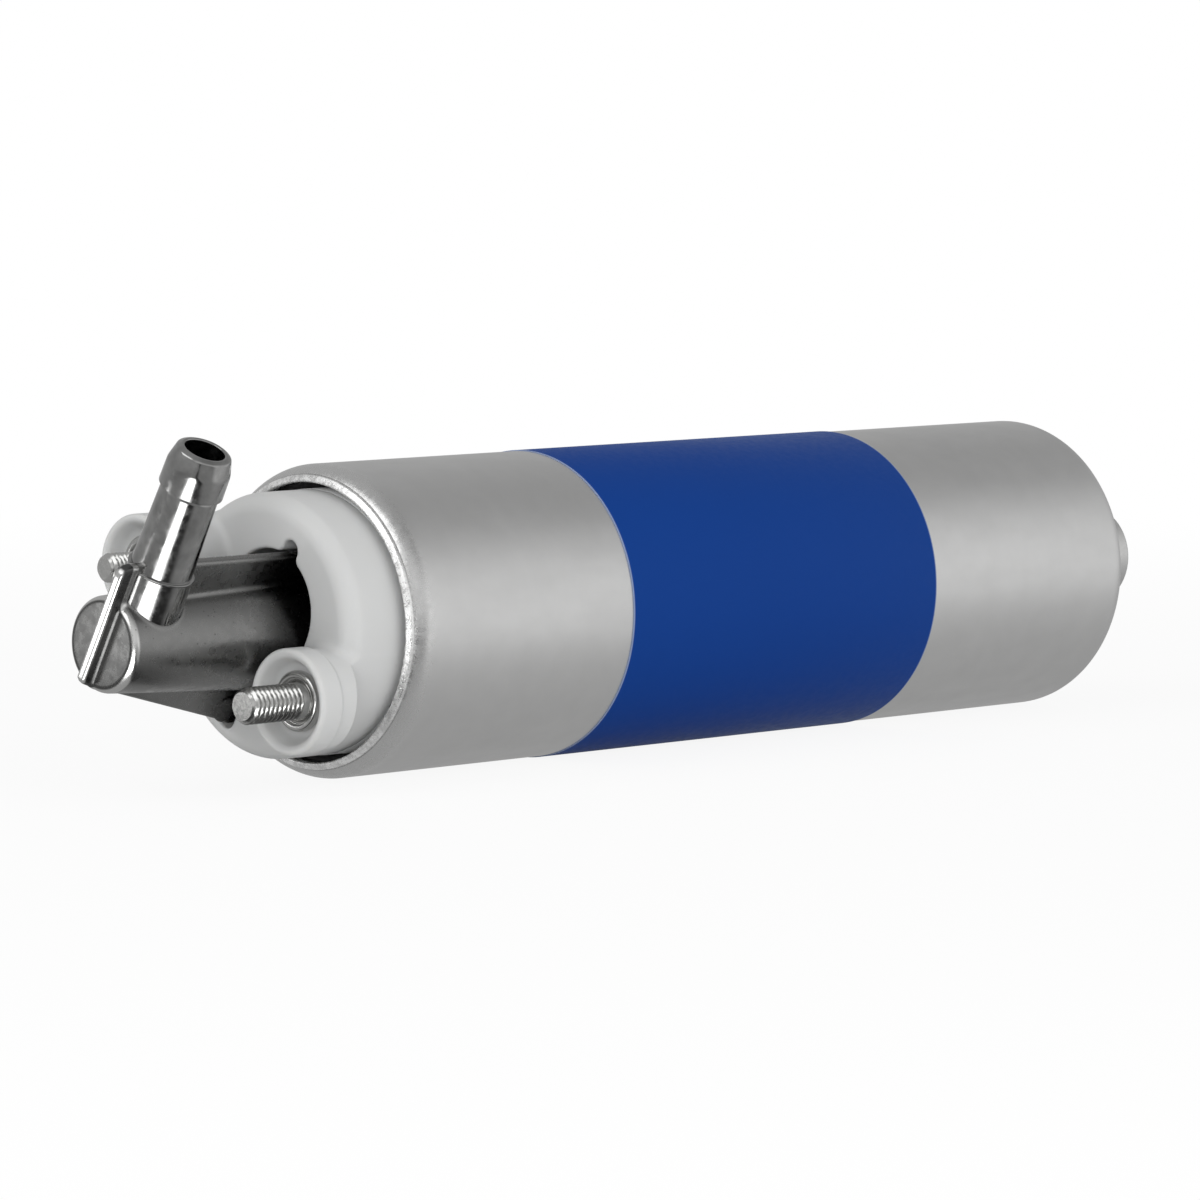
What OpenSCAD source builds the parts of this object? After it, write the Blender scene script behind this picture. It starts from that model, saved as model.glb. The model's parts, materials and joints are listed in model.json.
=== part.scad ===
// Inline electric fuel pump with a two-screw pump stage.
// The tube lies along X: the outlet and the terminals are at -X, the inlet is at +X.
// The origin is on the tube's axis, at the middle of the coloured band.

/* [Tube] */
// Outside diameter of the tube
tube_d = 43; // [42:0.5:46]
// Wall of the tube
tube_wall = 1.25; // [1:0.05:1.5]
// From the middle of the band to the edge of the rolled lip
front_len = 73.8; // [68:0.2:90]
// From the middle of the band to the rear face
rear_len = 76.5; // [70:0.5:95]
// Opening inside the rolled lip
lip_d = 38.2; // [37.8:0.1:39]
// Radius of the rolled front shoulder
front_roll = 3; // [2.6:0.1:3.4]
// Radius of the drawn rear shoulder
rear_roll = 3.8; // [3:0.1:4.5]
// Thickness of the rear wall
end_wall = 1.5; // [1.2:0.1:2]
// Length of the coloured band
band_len = 63.7; // [30:1:80]
// Thickness of the band's film
band_t = 0.12; // [0.08:0.02:0.2]

/* [End cap] */
// Diameter of the cap where it comes out of the lip
cap_d = 36.2; // [35:0.1:37]
// Height of the cap's crest above the lip
cap_rise = 8.7; // [7:0.1:10]
// Radius of the cap's outer edge
cap_edge = 3; // [1.5:0.1:4]
// Drop of the front face from the crest to the recess
cap_dish = 0.3; // [0.2:0.1:2]
// Diameter of the recess round the outlet
recess_d = 20.6; // [19:0.1:22]
// Depth of the recess below the crest
recess_depth = 11.1; // [8:0.1:12]
// Thickness of the cap's plate inside the lip
plate_t = 6.4; // [5.5:0.1:8]
// Distance between the two terminal studs
stud_pitch = 31; // [30.6:0.1:31.4]
// Turn of the stud line from the Y axis
stud_angle = 33; // [28:1:38]

/* [Terminals] */
// Thread diameter of the larger stud
big_stud_d = 5; // [4:0.5:5]
// Thread diameter of the smaller stud
small_stud_d = 4; // [3:0.5:4.5]
// Height of the larger stud's tip above the crest
big_stud_rise = 15.1; // [13:0.1:20]
// Height of the smaller stud's tip above the crest
small_stud_rise = 16.1; // [13:0.1:20]
// Height of the larger stud's boss above the crest
big_boss_rise = 7.1; // [6:0.1:9]
// Height of the smaller stud's boss above the crest
small_boss_rise = 10.6; // [8:0.1:12]
// Diameter of the larger stud's boss
big_boss_d = 14.3; // [13.8:0.1:14.6]
// Diameter of the smaller stud's boss
small_boss_d = 14.1; // [13.6:0.1:14.6]
// Diameter of the flared counterbore at the face of both bosses
counterbore_d = 12.2; // [11:0.1:12.4]

/* [Outlet fitting] */
// Tilt of the nipple from vertical, towards -Y
outlet_tilt = 28.3; // [20:0.1:35]
// Drop of the outlet's axis below the tube's axis
outlet_drop = 0.6; // [0:0.1:0.6]
// Diameter of the fitting's barrel at its rear
barrel_d = 15.8; // [15:0.1:16.2]
// How much narrower the barrel is at its end
barrel_taper = 3; // [1:0.1:3.4]
// Height of the barrel's end above the crest
barrel_rise = 28.2; // [24:0.1:34]
// From the barrel's end back to the nipple's axis
nipple_set = 5.8; // [5:0.1:7]
// Length of the nipple from the barrel's axis to its mouth
nipple_len = 29.6; // [24:0.1:36]
// Diameter of the hose barb
barb_d = 8.6; // [8.2:0.1:9.2]
// Diameter of the nipple just below the barb
nipple_d = 7.7; // [7.4:0.1:8]
// Diameter of the nipple's bore
nipple_bore = 5.5; // [4:0.1:5.6]
// Thickness of the web in the fitting's middle plane
web_t = 1.5; // [1.2:0.1:2]
// Height of the fin in front of the barrel's end
fin_h = 1.7; // [1:0.1:4]
// Height of the upper web above the barrel's axis
web_top = 12.3; // [11.7:0.1:12.6]
// Depth of the lower web's corner below the barrel's axis
web_low = 14.4; // [12:0.1:14.8]

/* [Inlet] */
// Diameter of the inlet spigot
spigot_d = 15; // [12:0.5:16]
// Bore of the inlet spigot
spigot_bore = 10.8; // [9:0.2:11]
// Length of the spigot behind the rear face
spigot_len = 17; // [14:0.5:24]

/* [Motor] */
// Diameter of the rotor shaft
shaft_d = 5; // [4:0.5:5]
// Thickness of the magnets
magnet_t = 3.7; // [3:0.1:4.5]
// Gap between the armature and the magnets
air_gap = 0.6; // [0.4:0.1:0.8]
// Number of armature slots and commutator bars
slots = 8; // [6:1:10]
// Diameter of the commutator
comm_d = 13; // [12:0.5:13]
// Length of a new brush
brush_len = 6.4; // [5:0.2:7]

/* [Pump stage] */
// Pitch radius of both screws
pitch_r = 4.8; // [4.2:0.1:4.9]
// Length of the screws' threads
screw_len = 26; // [20:0.5:30]
// Turn of the thread from end to end
screw_twist = 400; // [300:10:450]
// Running clearance of the screws in their bores
screw_gap = 0.08; // [0.04:0.01:0.1]

/* [Fits] */
// Clearance of the pieces that slide into the tube
fit = 0.05; // [0.02:0.01:0.08]
// Running clearance of the shaft, the brushes and the valves
run = 0.04; // [0.02:0.01:0.08]

/* [Hidden] */
$fn = 96;
// How far a cut runs past the face that it opens
over = 1;

// Radii of the tube and of the pieces that fit in it
tube_r = tube_d / 2;
bore_r = tube_r - tube_wall;
inner_r = bore_r - fit;
lip_r = lip_d / 2;
lip_t = 1.45;
lip_bevel = 0.9;
roll_angle = 55;
roll_chamfer = bore_r - lip_r;
crease_r = tube_r - front_roll * (1 - cos(roll_angle));
in_roll = rear_roll - end_wall;

// Stations along X at the front
x_lip = -front_len;
x_crease = x_lip + lip_bevel;
x_roll = x_crease + front_roll * sin(roll_angle);
x_flange = x_lip + lip_t;
x_capback = x_flange + plate_t;
x_crest = x_lip - cap_rise;
x_floor = x_crest + recess_depth;
chamber_len = 16;
x_holder = x_capback + chamber_len;
holder_len = 18;
x_ring = x_holder + holder_len;

// Stations along X at the rear
x_wall = rear_len - end_wall;
cover_len = 12;
suction_t = 3;
bearing_wall = 6;
coupling_room = 10;
x_cover = x_wall - cover_len;
x_plate = x_cover - suction_t;
x_bore = x_plate - screw_len;
x_cavity = x_bore - coupling_room;
x_pump = x_cavity - bearing_wall;

// Seals between the tube and the pieces in it
seal_r = 1;
seal_gap = 0.02;
tube_seal_at = bore_r - seal_r - seal_gap;
groove_r = tube_seal_at - seal_r - 0.03;
groove_w = 2.6;
cap_seal_set = 2.9;
x_cap_seal = x_flange + cap_seal_set;
x_pump_seal = x_pump + 9.3;

// The cap
cap_r = cap_d / 2;
recess_r = recess_d / 2;
skirt_t = 1.8;
box_r = inner_r - skirt_t;
slot_up = 13.9;
slot_down = web_low + 1.6;
slot_w = web_t + 2.6;
stud_r = stud_pitch / 2;
boss_edge = 0.8;
foot_d = 12.7;
foot_drop = 0.4;
head_len = 3.7;
counterbore_depth = 2.8;
counterbore_floor_r = 4.7;
stud_drop = 0.35;
port_r = 4.5;
port_bore = 2.6;
port_len = 8;
port_seal_r = 0.6;
x_port = x_floor - port_len;
x_port_seal = x_port + 3.1;
port_groove = 0.9;

// The studs and the pieces on their inner ends
collar_r = 4.1;
collar_t = 1.2;
collar_set = 1.5;
shank_r = 3.4;
stud_tail = 6.9;
stud_chamfer = 0.6;
stud_seal_r = 0.8;
nut_room = 4.9;
big_nut = [8, 4];
small_nut = [7, 3.2];
strap_t = 0.8;
strap_w = 5;
strap_eye_r = 4.3;
choke_turn = 55;
choke_at = 12;
choke_core_r = 2.4;
choke_wire = 0.5;
choke_turns = 9;
choke_step = 1.1;
choke_set = 2.4;

// The outlet fitting
barrel_r = barrel_d / 2;
barrel_end_r = barrel_r - barrel_taper / 2;
barrel_edge = 0.9;
x_barrel = x_crest - barrel_rise;
x_nipple = x_barrel + nipple_set;
x_barrel_rear = x_floor - 0.6;
barb_r = barb_d / 2;
barb_set = 4.4;
barb_land = 1.5;
barb_back = 0.6;
neck_r = nipple_d / 2;
root_r = neck_r + 0.4;
turned_from = 11.5;
turned_step = 0.3;
mouth_r = 3.75;
mouth_edge = 0.75;
fin_round = 1.7;
fin_low = 5.2;
web_rear_gap = 2.5;
pin_mark_r = 2;
pin_mark_set = 1.5;

// The check valve
x_seat = x_port - 1;
seat_t = 2.6;
valve_r = 4;
valve_bore = 2;
seat_flare = 0.4;
valve_room = 13;
x_valve = x_seat - seat_t;
x_valve_end = x_valve - valve_room;
disc_r = 2.9;
disc_t = 1.6;
pin_r = 1.2;
pin_len = 3.4;
nose_len = 1.8;
guide_w = 1.4;

// The brushes and the commutator
comm_r = comm_d / 2;
shaft_r = shaft_d / 2;
x_comm = x_holder + 7.4;
comm_len = 9.5;
bar_t = 1.3;
bar_gap = 0.6;
riser_len = 1.4;
riser_h = 1.1;
brush_w = 4.9;
brush_h = 4.4;
x_brush = x_comm + 1.6;
brush_top = comm_r + run + brush_len;
brush_cap_t = 0.9;
box_w = 8;
box_end = 1;
plate_len = 3.5;
hub_len = 6.5;
hub_r = 7.2;
vent_at = 12.4;
vent_r = 3.2;

// The motor
bearing_r = 5;
bearing_len = 5;
bearing_set = 1.2;
rear_bearing_set = 0.5;
ring_t = 1.9;
ring_r = inner_r - ring_t;
magnet_r = ring_r - magnet_t;
armature_r = magnet_r - air_gap;
magnet_span = 128;
magnet_over = 1.5;
clip_t = 0.9;
clip_gap = 0.4;
x_core = x_ring + 6;
core_room = 6.5;
x_core_end = x_pump - core_room;
head_over = 5.5;
head_edge = 1.6;
mouth_w = 1.6;
washer_gap = 0.1;
tang = 3.4;
tang_len = 3.5;
coupling_r = 6;
coupling_len = 7;
coupling_set = 0.5;
coupling_play = 0.03;

// The pump stage
tip_ratio = 5 / 3;
tip_r = pitch_r * tip_ratio;
core_r = pitch_r * (2 - tip_ratio);
screw_space = 2 * pitch_r;
screw_end = 0.1;
screw_slices = 36;
screw_stub = 4;
cavity_r = tip_r + 0.6;
feed_at = 9;
feed_r = 2.1;
suction_at = [6.2, 4];
suction_r = 2.4;
relief_at = 13.4;
relief_r = 3;
relief_port = 1.5;
relief_set = 20;
x_relief = x_pump + relief_set;
poppet_len = 4;
plug_t = 3.5;
plug_bore = 1.4;
relief_drain = 1.8;
plate_screw_r = 1.5;
plate_screw_at = inner_r - 4.7;
plate_screw_len = 8;
screw_head_r = 2.75;
screw_head_t = 2;
hex_r = 1.4;

// The inlet cover
spigot_r = spigot_d / 2;
spigot_neck_r = 9.4;
spigot_neck_len = 1.8;
spigot_edge = 0.8;
cover_wall = 1.7;
cover_depth = 3.2;
strainer_seat = 6.2;
flange_r = spigot_bore / 2 + 1.4;
inlet_seal_at = 13.2;
inlet_seal_r = 0.93;
inlet_groove = [2.4, 1.9];
strainer_r = spigot_bore / 2 - 0.3;
strainer_t = 0.6;
strainer_set = 5;

// Helpers
// A profile in radius and X, turned round the X axis
module turn() { rotate([0, 90, 0]) rotate_extrude() children(); }
module rod(x0, x1, r) { translate([x0, 0, 0]) rotate([0, 90, 0]) cylinder(h = x1 - x0, r = r); }
module sleeve(x0, x1, r0, r1) { turn() translate([r0, x0]) square([r1 - r0, x1 - x0]); }
module o_ring(x, r, section) { turn() translate([r, x]) circle(section); }
module polar(angle, r) { translate([0, r * cos(angle), r * sin(angle)]) children(); }
module at_big_stud() { translate([0, 0, -stud_drop]) polar(stud_angle + 180, stud_r) children(); }
module at_small_stud() { translate([0, 0, -stud_drop]) polar(stud_angle, stud_r) children(); }
// The outlet port's axis, and the fitting's own frame: X along the tube, Z along the nipple
module at_port() { translate([0, 0, -outlet_drop]) children(); }
module at_outlet() { at_port() rotate([outlet_tilt, 0, 0]) children(); }

// A wire coil along Z, from 0 to len, with its section in the radial plane
module coil(r, wire, len, turns) {
    steps = 12;
    sides = 6;
    n = turns * steps;
    points = [for (i = [0 : n], j = [0 : sides - 1])
        let (a = 360 * i / steps, b = 360 * j / sides, q = r + wire * cos(b))
        [q * cos(a), q * sin(a), wire + (len - 2 * wire) * i / n + wire * sin(b)]];
    skin = [for (i = [0 : n - 1], j = [0 : sides - 1], k = [0, 1])
        let (p = i * sides, j1 = (j + 1) % sides)
        k == 0 ? [p + j, p + j1, p + sides + j1] : [p + j, p + sides + j1, p + sides + j]];
    lids = concat([for (j = [1 : sides - 2]) [0, j + 1, j]],
        [for (j = [1 : sides - 2]) [n * sides, n * sides + j, n * sides + j + 1]]);
    polyhedron(points = points, faces = concat(skin, lids));
}

// Tube and band
module housing_tube() {
    x_corner = x_wall - in_roll;
    color("silver") turn() difference() {
        union() {
            translate([0, x_roll]) square([tube_r, rear_len - rear_roll - x_roll]);
            intersection() {
                union() {
                    translate([tube_r - front_roll, x_roll]) circle(front_roll);
                    translate([0, x_lip]) square([crease_r, x_roll - x_lip + over]);
                }
                polygon([[0, x_lip], [lip_r, x_lip], [crease_r, x_crease], [tube_r + over, x_crease],
                    [tube_r + over, x_roll + over], [0, x_roll + over]]);
            }
            translate([tube_r - rear_roll, rear_len - rear_roll]) circle(rear_roll);
            translate([0, rear_len - rear_roll - over]) square([tube_r - rear_roll, rear_roll + over]);
        }
        polygon([[0, x_lip - over], [lip_r, x_lip - over], [lip_r, x_flange],
            [bore_r, x_flange + roll_chamfer], [bore_r, x_corner], [0, x_corner]]);
        translate([bore_r - in_roll, x_corner]) circle(in_roll);
        translate([0, x_corner - over]) square([bore_r - in_roll, in_roll + over]);
        square([spigot_neck_r + fit, rear_len + over]);
    }
}
module band() { color("#183d84") sleeve(-band_len / 2, band_len / 2, tube_r, tube_r + band_t); }

// End cap, with the terminal bosses and the outlet port
module cap_profile() {
    difference() {
        union() {
            translate([cap_r - cap_edge, x_crest + cap_edge]) circle(cap_edge);
            polygon([[0, x_crest + cap_dish], [recess_r, x_crest + cap_dish], [cap_r - cap_edge, x_crest],
                [cap_r - cap_edge, x_crest + cap_edge], [cap_r, x_crest + cap_edge], [cap_r, x_flange],
                [inner_r - roll_chamfer, x_flange], [inner_r, x_flange + roll_chamfer],
                [inner_r, x_holder], [box_r, x_holder], [box_r, x_capback], [0, x_capback]]);
        }
        translate([groove_r, x_cap_seal - groove_w / 2]) square([tube_r, groove_w]);
    }
}
// One boss: its head has a rounded front edge, and its foot stands on the crest
module boss(rise, d, foot, length) {
    x_face = x_crest - rise;
    head_r = d / 2;
    turn() {
        translate([head_r - boss_edge, x_face + boss_edge]) circle(boss_edge);
        polygon([[0, x_face], [head_r - boss_edge, x_face], [head_r - boss_edge, x_face + boss_edge],
            [head_r, x_face + boss_edge], [head_r, x_face + length], [foot / 2, x_face + length],
            [foot / 2, x_crest + foot_drop], [0, x_crest + foot_drop]]);
    }
}
module stud_hole(rise, stud) {
    x_face = x_crest - rise;
    seat_r = stud / 2 + 2 * stud_seal_r + fit;
    turn() polygon([[0, x_face - over], [counterbore_d / 2, x_face - over], [counterbore_d / 2, x_face],
        [counterbore_floor_r, x_face + counterbore_depth], [0, x_face + counterbore_depth]]);
    rod(x_face, x_capback + over, stud / 2);
    rod(x_capback - 2 * stud_seal_r, x_capback + over, seat_r);
    rod(x_capback, x_holder + over, nut_room);
}
module end_cap() {
    slot_len = x_floor - x_crest + over;
    color("#c9c9c5") difference() {
        union() {
            difference() {
                turn() cap_profile();
                at_port() rod(x_crest - over, x_floor, recess_r);
                at_outlet() translate([x_crest - over, -slot_w / 2, -slot_down])
                    cube([slot_len, slot_w, slot_down + slot_up]);
            }
            at_big_stud() boss(big_boss_rise, big_boss_d, foot_d, head_len);
            at_small_stud() boss(small_boss_rise, small_boss_d, small_boss_d, small_boss_rise - over);
            intersection() {
                union() {
                    at_big_stud() rod(x_crest, x_floor + over, foot_d / 2);
                    at_small_stud() rod(x_crest, x_floor + over, small_boss_d / 2);
                }
                rod(x_crest, x_floor + over, cap_r);
            }
            at_port() rod(x_port, x_floor + over, port_r);
        }
        at_big_stud() stud_hole(big_boss_rise, big_stud_d);
        at_small_stud() stud_hole(small_boss_rise, small_stud_d);
        at_port() {
            rod(x_port - over, x_capback + over, port_bore);
            sleeve(x_port_seal - port_groove, x_port_seal + port_groove, port_r - 2 * port_seal_r, barrel_r);
        }
    }
}
module cap_seal() { color("#222222") o_ring(x_cap_seal, tube_seal_at, seal_r); }

// Outlet fitting, a casting: barrel, web in its middle plane and barbed nipple
module nipple_profile() {
    z_land = nipple_len - barb_set;
    difference() {
        polygon([[0, 0], [root_r + turned_step, 0], [root_r + turned_step, turned_from - turned_step],
            [root_r, turned_from], [neck_r, z_land - barb_land - barb_back], [barb_r, z_land - barb_land],
            [barb_r, z_land], [mouth_r + mouth_edge / 5, nipple_len - mouth_edge],
            [mouth_r - mouth_edge, nipple_len], [0, nipple_len]]);
        square([nipple_bore / 2, nipple_len + over]);
    }
}
module web_outline() {
    x_fin = x_barrel - fin_h;
    x_low = x_crest - 2.1;
    x_rear = x_floor - web_rear_gap;
    polygon([[x_fin, web_top - fin_round], [x_fin, -fin_low], [x_fin + 0.4, -fin_low - 0.5],
        [x_fin + 1.2, -fin_low - 0.8], [x_low, -web_low + 0.8], [x_crest, -web_low], [x_rear, -web_low],
        [x_rear, web_top], [x_fin + fin_round, web_top], [x_fin + 0.3 * fin_round, web_top - 0.3 * fin_round]]);
}
module outlet_fitting() {
    color("#6b6c6c") at_outlet() difference() {
        union() {
            turn() {
                translate([barrel_end_r - barrel_edge, x_barrel + barrel_edge]) circle(barrel_edge);
                polygon([[0, x_barrel], [barrel_end_r - barrel_edge, x_barrel],
                    [barrel_end_r - barrel_edge, x_barrel + barrel_edge], [barrel_end_r, x_barrel + barrel_edge],
                    [barrel_r, x_crest], [barrel_r, x_barrel_rear], [0, x_barrel_rear]]);
            }
            rotate([90, 0, 0]) linear_extrude(web_t, center = true) web_outline();
            translate([x_nipple, 0, 0]) rotate_extrude() nipple_profile();
            translate([x_crest - pin_mark_set, -web_t / 2, 2.6 - web_low]) rotate([90, 0, 0])
                cylinder(h = 0.3, r = pin_mark_r);
        }
        rod(x_seat, x_barrel_rear + over, port_r + fit);
        rod(x_valve_end, x_seat + over, valve_r);
        rod(x_nipple, x_valve_end + over, port_bore);
        translate([x_nipple, 0, 0]) cylinder(h = nipple_len, r = nipple_bore / 2);
        translate([x_nipple, 0, 0]) sphere(port_bore);
    }
}
module outlet_seal() { color("#222222") at_port() o_ring(x_port_seal, port_r + fit - port_seal_r - seal_gap, port_seal_r); }

// Check valve in the barrel
module check_valve_seat() {
    color("#b59a5b") at_port() turn() polygon([[valve_bore + seat_flare, x_seat], [valve_r, x_seat],
        [valve_r, x_valve], [valve_bore, x_valve], [valve_bore, x_seat - 2 * seat_flare]]);
}
module check_valve_poppet() {
    x_disc = x_valve - disc_t;
    color("#2b2b2b") at_port() {
        rod(x_disc, x_valve, disc_r);
        rod(x_disc - pin_len, x_disc, pin_r);
        rod(x_valve, x_valve + nose_len, pin_r);
        intersection() {
            rod(x_disc, x_valve, valve_r - run);
            for (a = [90, 210, 330]) rotate([a, 0, 0])
                translate([x_disc, -guide_w / 2, 0]) cube([disc_t, guide_w, valve_r]);
        }
    }
}
module check_valve_spring() {
    color("#c8c8c8") at_port() translate([x_valve_end, 0, 0]) rotate([0, 90, 0])
        coil(3.15, 0.35, valve_room - disc_t, 6);
}

// Terminal studs and what they carry inside
module stud(rise, d, tip_rise) {
    x_tip = x_crest - tip_rise;
    x_collar = x_crest - rise + collar_set;
    x_foot = x_crest - rise + counterbore_depth;
    x_tail = x_capback + stud_tail;
    turn() polygon([[0, x_tip], [d / 2 - stud_chamfer, x_tip], [d / 2, x_tip + stud_chamfer],
        [d / 2, x_collar], [collar_r, x_collar], [collar_r, x_collar + collar_t],
        [shank_r, x_collar + collar_t], [shank_r, x_foot], [d / 2, x_foot],
        [d / 2, x_tail - stud_chamfer], [d / 2 - stud_chamfer, x_tail], [0, x_tail]]);
}
module stud_large() { color("#c4c4c0") at_big_stud() stud(big_boss_rise, big_stud_d, big_stud_rise); }
module stud_small() { color("#c4c4c0") at_small_stud() stud(small_boss_rise, small_stud_d, small_stud_rise); }
module stud_seal(d) { o_ring(x_capback - stud_seal_r, d / 2 + stud_seal_r + seal_gap, stud_seal_r); }
module stud_seals() {
    color("#222222") {
        at_big_stud() stud_seal(big_stud_d);
        at_small_stud() stud_seal(small_stud_d);
    }
}
// A hexagon nut: its size is [across flats, thickness]
module nut(size, d) {
    rotate([stud_angle, 0, 0]) translate([x_capback + strap_t, 0, 0]) rotate([0, 90, 0]) difference() {
        cylinder(h = size[1], r = size[0] / 2 / cos(30), $fn = 6);
        translate([0, 0, -over]) cylinder(h = size[1] + 2 * over, r = d / 2);
    }
}
module stud_nuts() {
    color("#b8b8b2") {
        at_big_stud() nut(big_nut, big_stud_d);
        at_small_stud() nut(small_nut, small_stud_d);
    }
}
module strap(angle, d) {
    reach = sqrt(stud_r * stud_r + choke_at * choke_at - 2 * stud_r * choke_at * cos(choke_turn));
    heading = atan2(choke_at * sin(choke_turn), choke_at * cos(choke_turn) - stud_r);
    rotate([angle, 0, 0]) translate([x_capback, 0, 0]) rotate([90, 0, 90]) linear_extrude(strap_t)
        difference() {
            union() {
                translate([stud_r, 0]) circle(strap_eye_r);
                translate([stud_r, 0]) rotate(heading) translate([0, -strap_w / 2]) square([reach, strap_w]);
                rotate(choke_turn) translate([choke_at, 0]) circle(strap_w / 2);
            }
            translate([stud_r, 0]) circle(d / 2);
        }
}
module terminal_straps() {
    color("#b8860b") translate([0, 0, -stud_drop]) {
        strap(stud_angle + 180, big_stud_d);
        strap(stud_angle, small_stud_d);
    }
}
module at_chokes() {
    translate([0, 0, -stud_drop]) for (a = [0, 180]) polar(stud_angle + choke_turn + a, choke_at) children();
}
module choke_cores() {
    color("#3a3a3a") at_chokes() rod(x_capback + strap_t, x_holder - choke_core_r, choke_core_r);
}
module choke_coils() {
    x0 = x_capback + choke_set;
    x1 = x0 + choke_turns * choke_step;
    coil_r = choke_core_r + choke_wire;
    color("#a5502a") at_chokes() {
        difference() {
            turn() {
                translate([choke_core_r, x0]) square([choke_wire, x1 - x0]);
                for (i = [0 : choke_turns - 1])
                    translate([coil_r, x0 + (i + 0.5) * choke_step]) circle(choke_wire);
            }
            rod(x0 - over, x_holder, choke_core_r);
        }
        translate([0, coil_r, 0]) rod(x1 - choke_wire, x_holder, choke_wire * 0.8);
    }
}

// Brush holder, with the front bearing and two brushes on springs
module brush_holder() {
    x_hub = x_holder + hub_len;
    x_socket = x_holder + bearing_set + bearing_len;
    color("#d8d2bd") difference() {
        union() {
            sleeve(x_holder, x_ring, box_r, inner_r);
            rod(x_holder, x_holder + plate_len, box_r + 0.5);
            rod(x_holder, x_hub, hub_r);
            difference() {
                translate([x_holder, -box_w / 2, -box_r - 0.5])
                    cube([x_brush + brush_w + box_end - x_holder, box_w, 2 * box_r + 1]);
                rod(x_hub, x_ring, comm_r + 0.6);
            }
        }
        rod(x_holder + bearing_set, x_socket, bearing_r);
        rod(x_holder - over, x_socket, shaft_r + 0.6);
        rod(x_socket - over, x_hub + over, shaft_r + 1.4);
        translate([x_brush - run, -brush_h / 2 - run, -box_r])
            cube([brush_w + 2 * run, brush_h + 2 * run, 2 * box_r]);
        for (a = [35, 145, 215, 325]) polar(a, vent_at) rod(x_holder - over, x_hub, vent_r);
    }
}
module front_bearing() {
    color("#a8763e") sleeve(x_holder + bearing_set, x_holder + bearing_set + bearing_len, shaft_r + run, bearing_r);
}
module one_brush() {
    difference() {
        translate([x_brush, -brush_h / 2, comm_r * 0.8]) cube([brush_w, brush_h, brush_top - comm_r * 0.8]);
        rod(x_brush - over, x_brush + brush_w + over, comm_r + run);
    }
}
module one_brush_spring() {
    translate([x_brush + brush_w / 2, 0, brush_top]) coil(1.6, 0.25, box_r - brush_cap_t - brush_top, 5);
}
module brush_upper() { color("#3c3c3e") one_brush(); }
module brush_lower() { color("#3c3c3e") rotate([180, 0, 0]) one_brush(); }
module brush_spring_upper() { color("#c8c8c8") one_brush_spring(); }
module brush_spring_lower() { color("#c8c8c8") rotate([180, 0, 0]) one_brush_spring(); }
module brush_caps() {
    color("#b8860b") for (a = [0, 180]) rotate([a, 0, 0])
        translate([x_brush, -brush_h / 2, box_r - brush_cap_t]) cube([brush_w, brush_h, brush_cap_t]);
}

// Motor: flux ring, magnets and rotor
module flux_ring() { color("#8f9194") sleeve(x_ring, x_pump, ring_r, inner_r); }
module arc_piece(r0, r1, middle, span) {
    x0 = x_core - magnet_over;
    x1 = x_core_end + magnet_over;
    rotate([middle - span / 2, 0, 0]) rotate([0, 90, 0]) rotate([0, 0, 90])
        rotate_extrude(angle = span) translate([r0, x0]) square([r1 - r0, x1 - x0]);
}
module magnets() { color("#4a4a4c") for (a = [0, 180]) arc_piece(magnet_r, ring_r, a, magnet_span); }
module magnet_clips() {
    color("#c0c0c0") for (a = [90, 270]) arc_piece(ring_r - clip_t, ring_r, a, 180 - magnet_span - clip_gap);
}
module tang_rod(x0, x1) {
    intersection() {
        rod(x0, x1, shaft_r);
        translate([x0, -shaft_r, -tang / 2]) cube([x1 - x0, 2 * shaft_r, tang]);
    }
}
module rotor_shaft() {
    color("#b4b6b8") union() {
        rod(x_holder + 1, x_cavity + 0.3, shaft_r);
        tang_rod(x_cavity, x_cavity + tang_len);
    }
}
module thrust_washers() {
    color("#c9a25a") {
        sleeve(x_holder + hub_len + washer_gap, x_comm - washer_gap, shaft_r, shaft_r + 1.2);
        sleeve(x_pump - 0.7, x_pump - washer_gap, shaft_r, shaft_r + 1.8);
    }
}
// One armature slot in the YZ plane: a deep pocket with a narrow mouth
module slot_pockets(shrink) {
    translate([armature_r * 0.68, 0]) circle(armature_r * 0.16 - shrink);
    translate([armature_r * 0.5, 0]) circle(armature_r * 0.09 - shrink);
}
module slot_mouth() { translate([armature_r * 0.7, -mouth_w / 2]) square([armature_r, mouth_w]); }
module armature_core() {
    color("#6f7275") translate([x_core, 0, 0]) rotate([0, 90, 0]) linear_extrude(x_core_end - x_core)
        difference() {
            circle(armature_r);
            circle(shaft_r);
            for (i = [0 : slots - 1]) rotate(360 * i / slots) {
                slot_pockets(0);
                slot_mouth();
            }
        }
}
module winding_head(x0, x1) {
    r0 = armature_r * 0.42;
    r1 = armature_r * 0.85;
    turn() {
        translate([r0 + head_edge, x0]) square([r1 - r0 - 2 * head_edge, x1 - x0]);
        translate([r0, x0 + head_edge]) square([r1 - r0, x1 - x0 - 2 * head_edge]);
        for (r = [r0 + head_edge, r1 - head_edge], x = [x0 + head_edge, x1 - head_edge])
            translate([r, x]) circle(head_edge);
    }
}
module windings() {
    color("#a5502a") union() {
        winding_head(x_core - head_over, x_core);
        winding_head(x_core_end, x_core_end + head_over);
        translate([x_core - over, 0, 0]) rotate([0, 90, 0]) linear_extrude(x_core_end - x_core + 2 * over)
            for (i = [0 : slots - 1]) rotate(360 * i / slots) slot_pockets(0.1);
    }
}
module commutator_hub() { color("#3a2a1e") sleeve(x_comm, x_comm + comm_len, shaft_r, comm_r - bar_t); }
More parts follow.
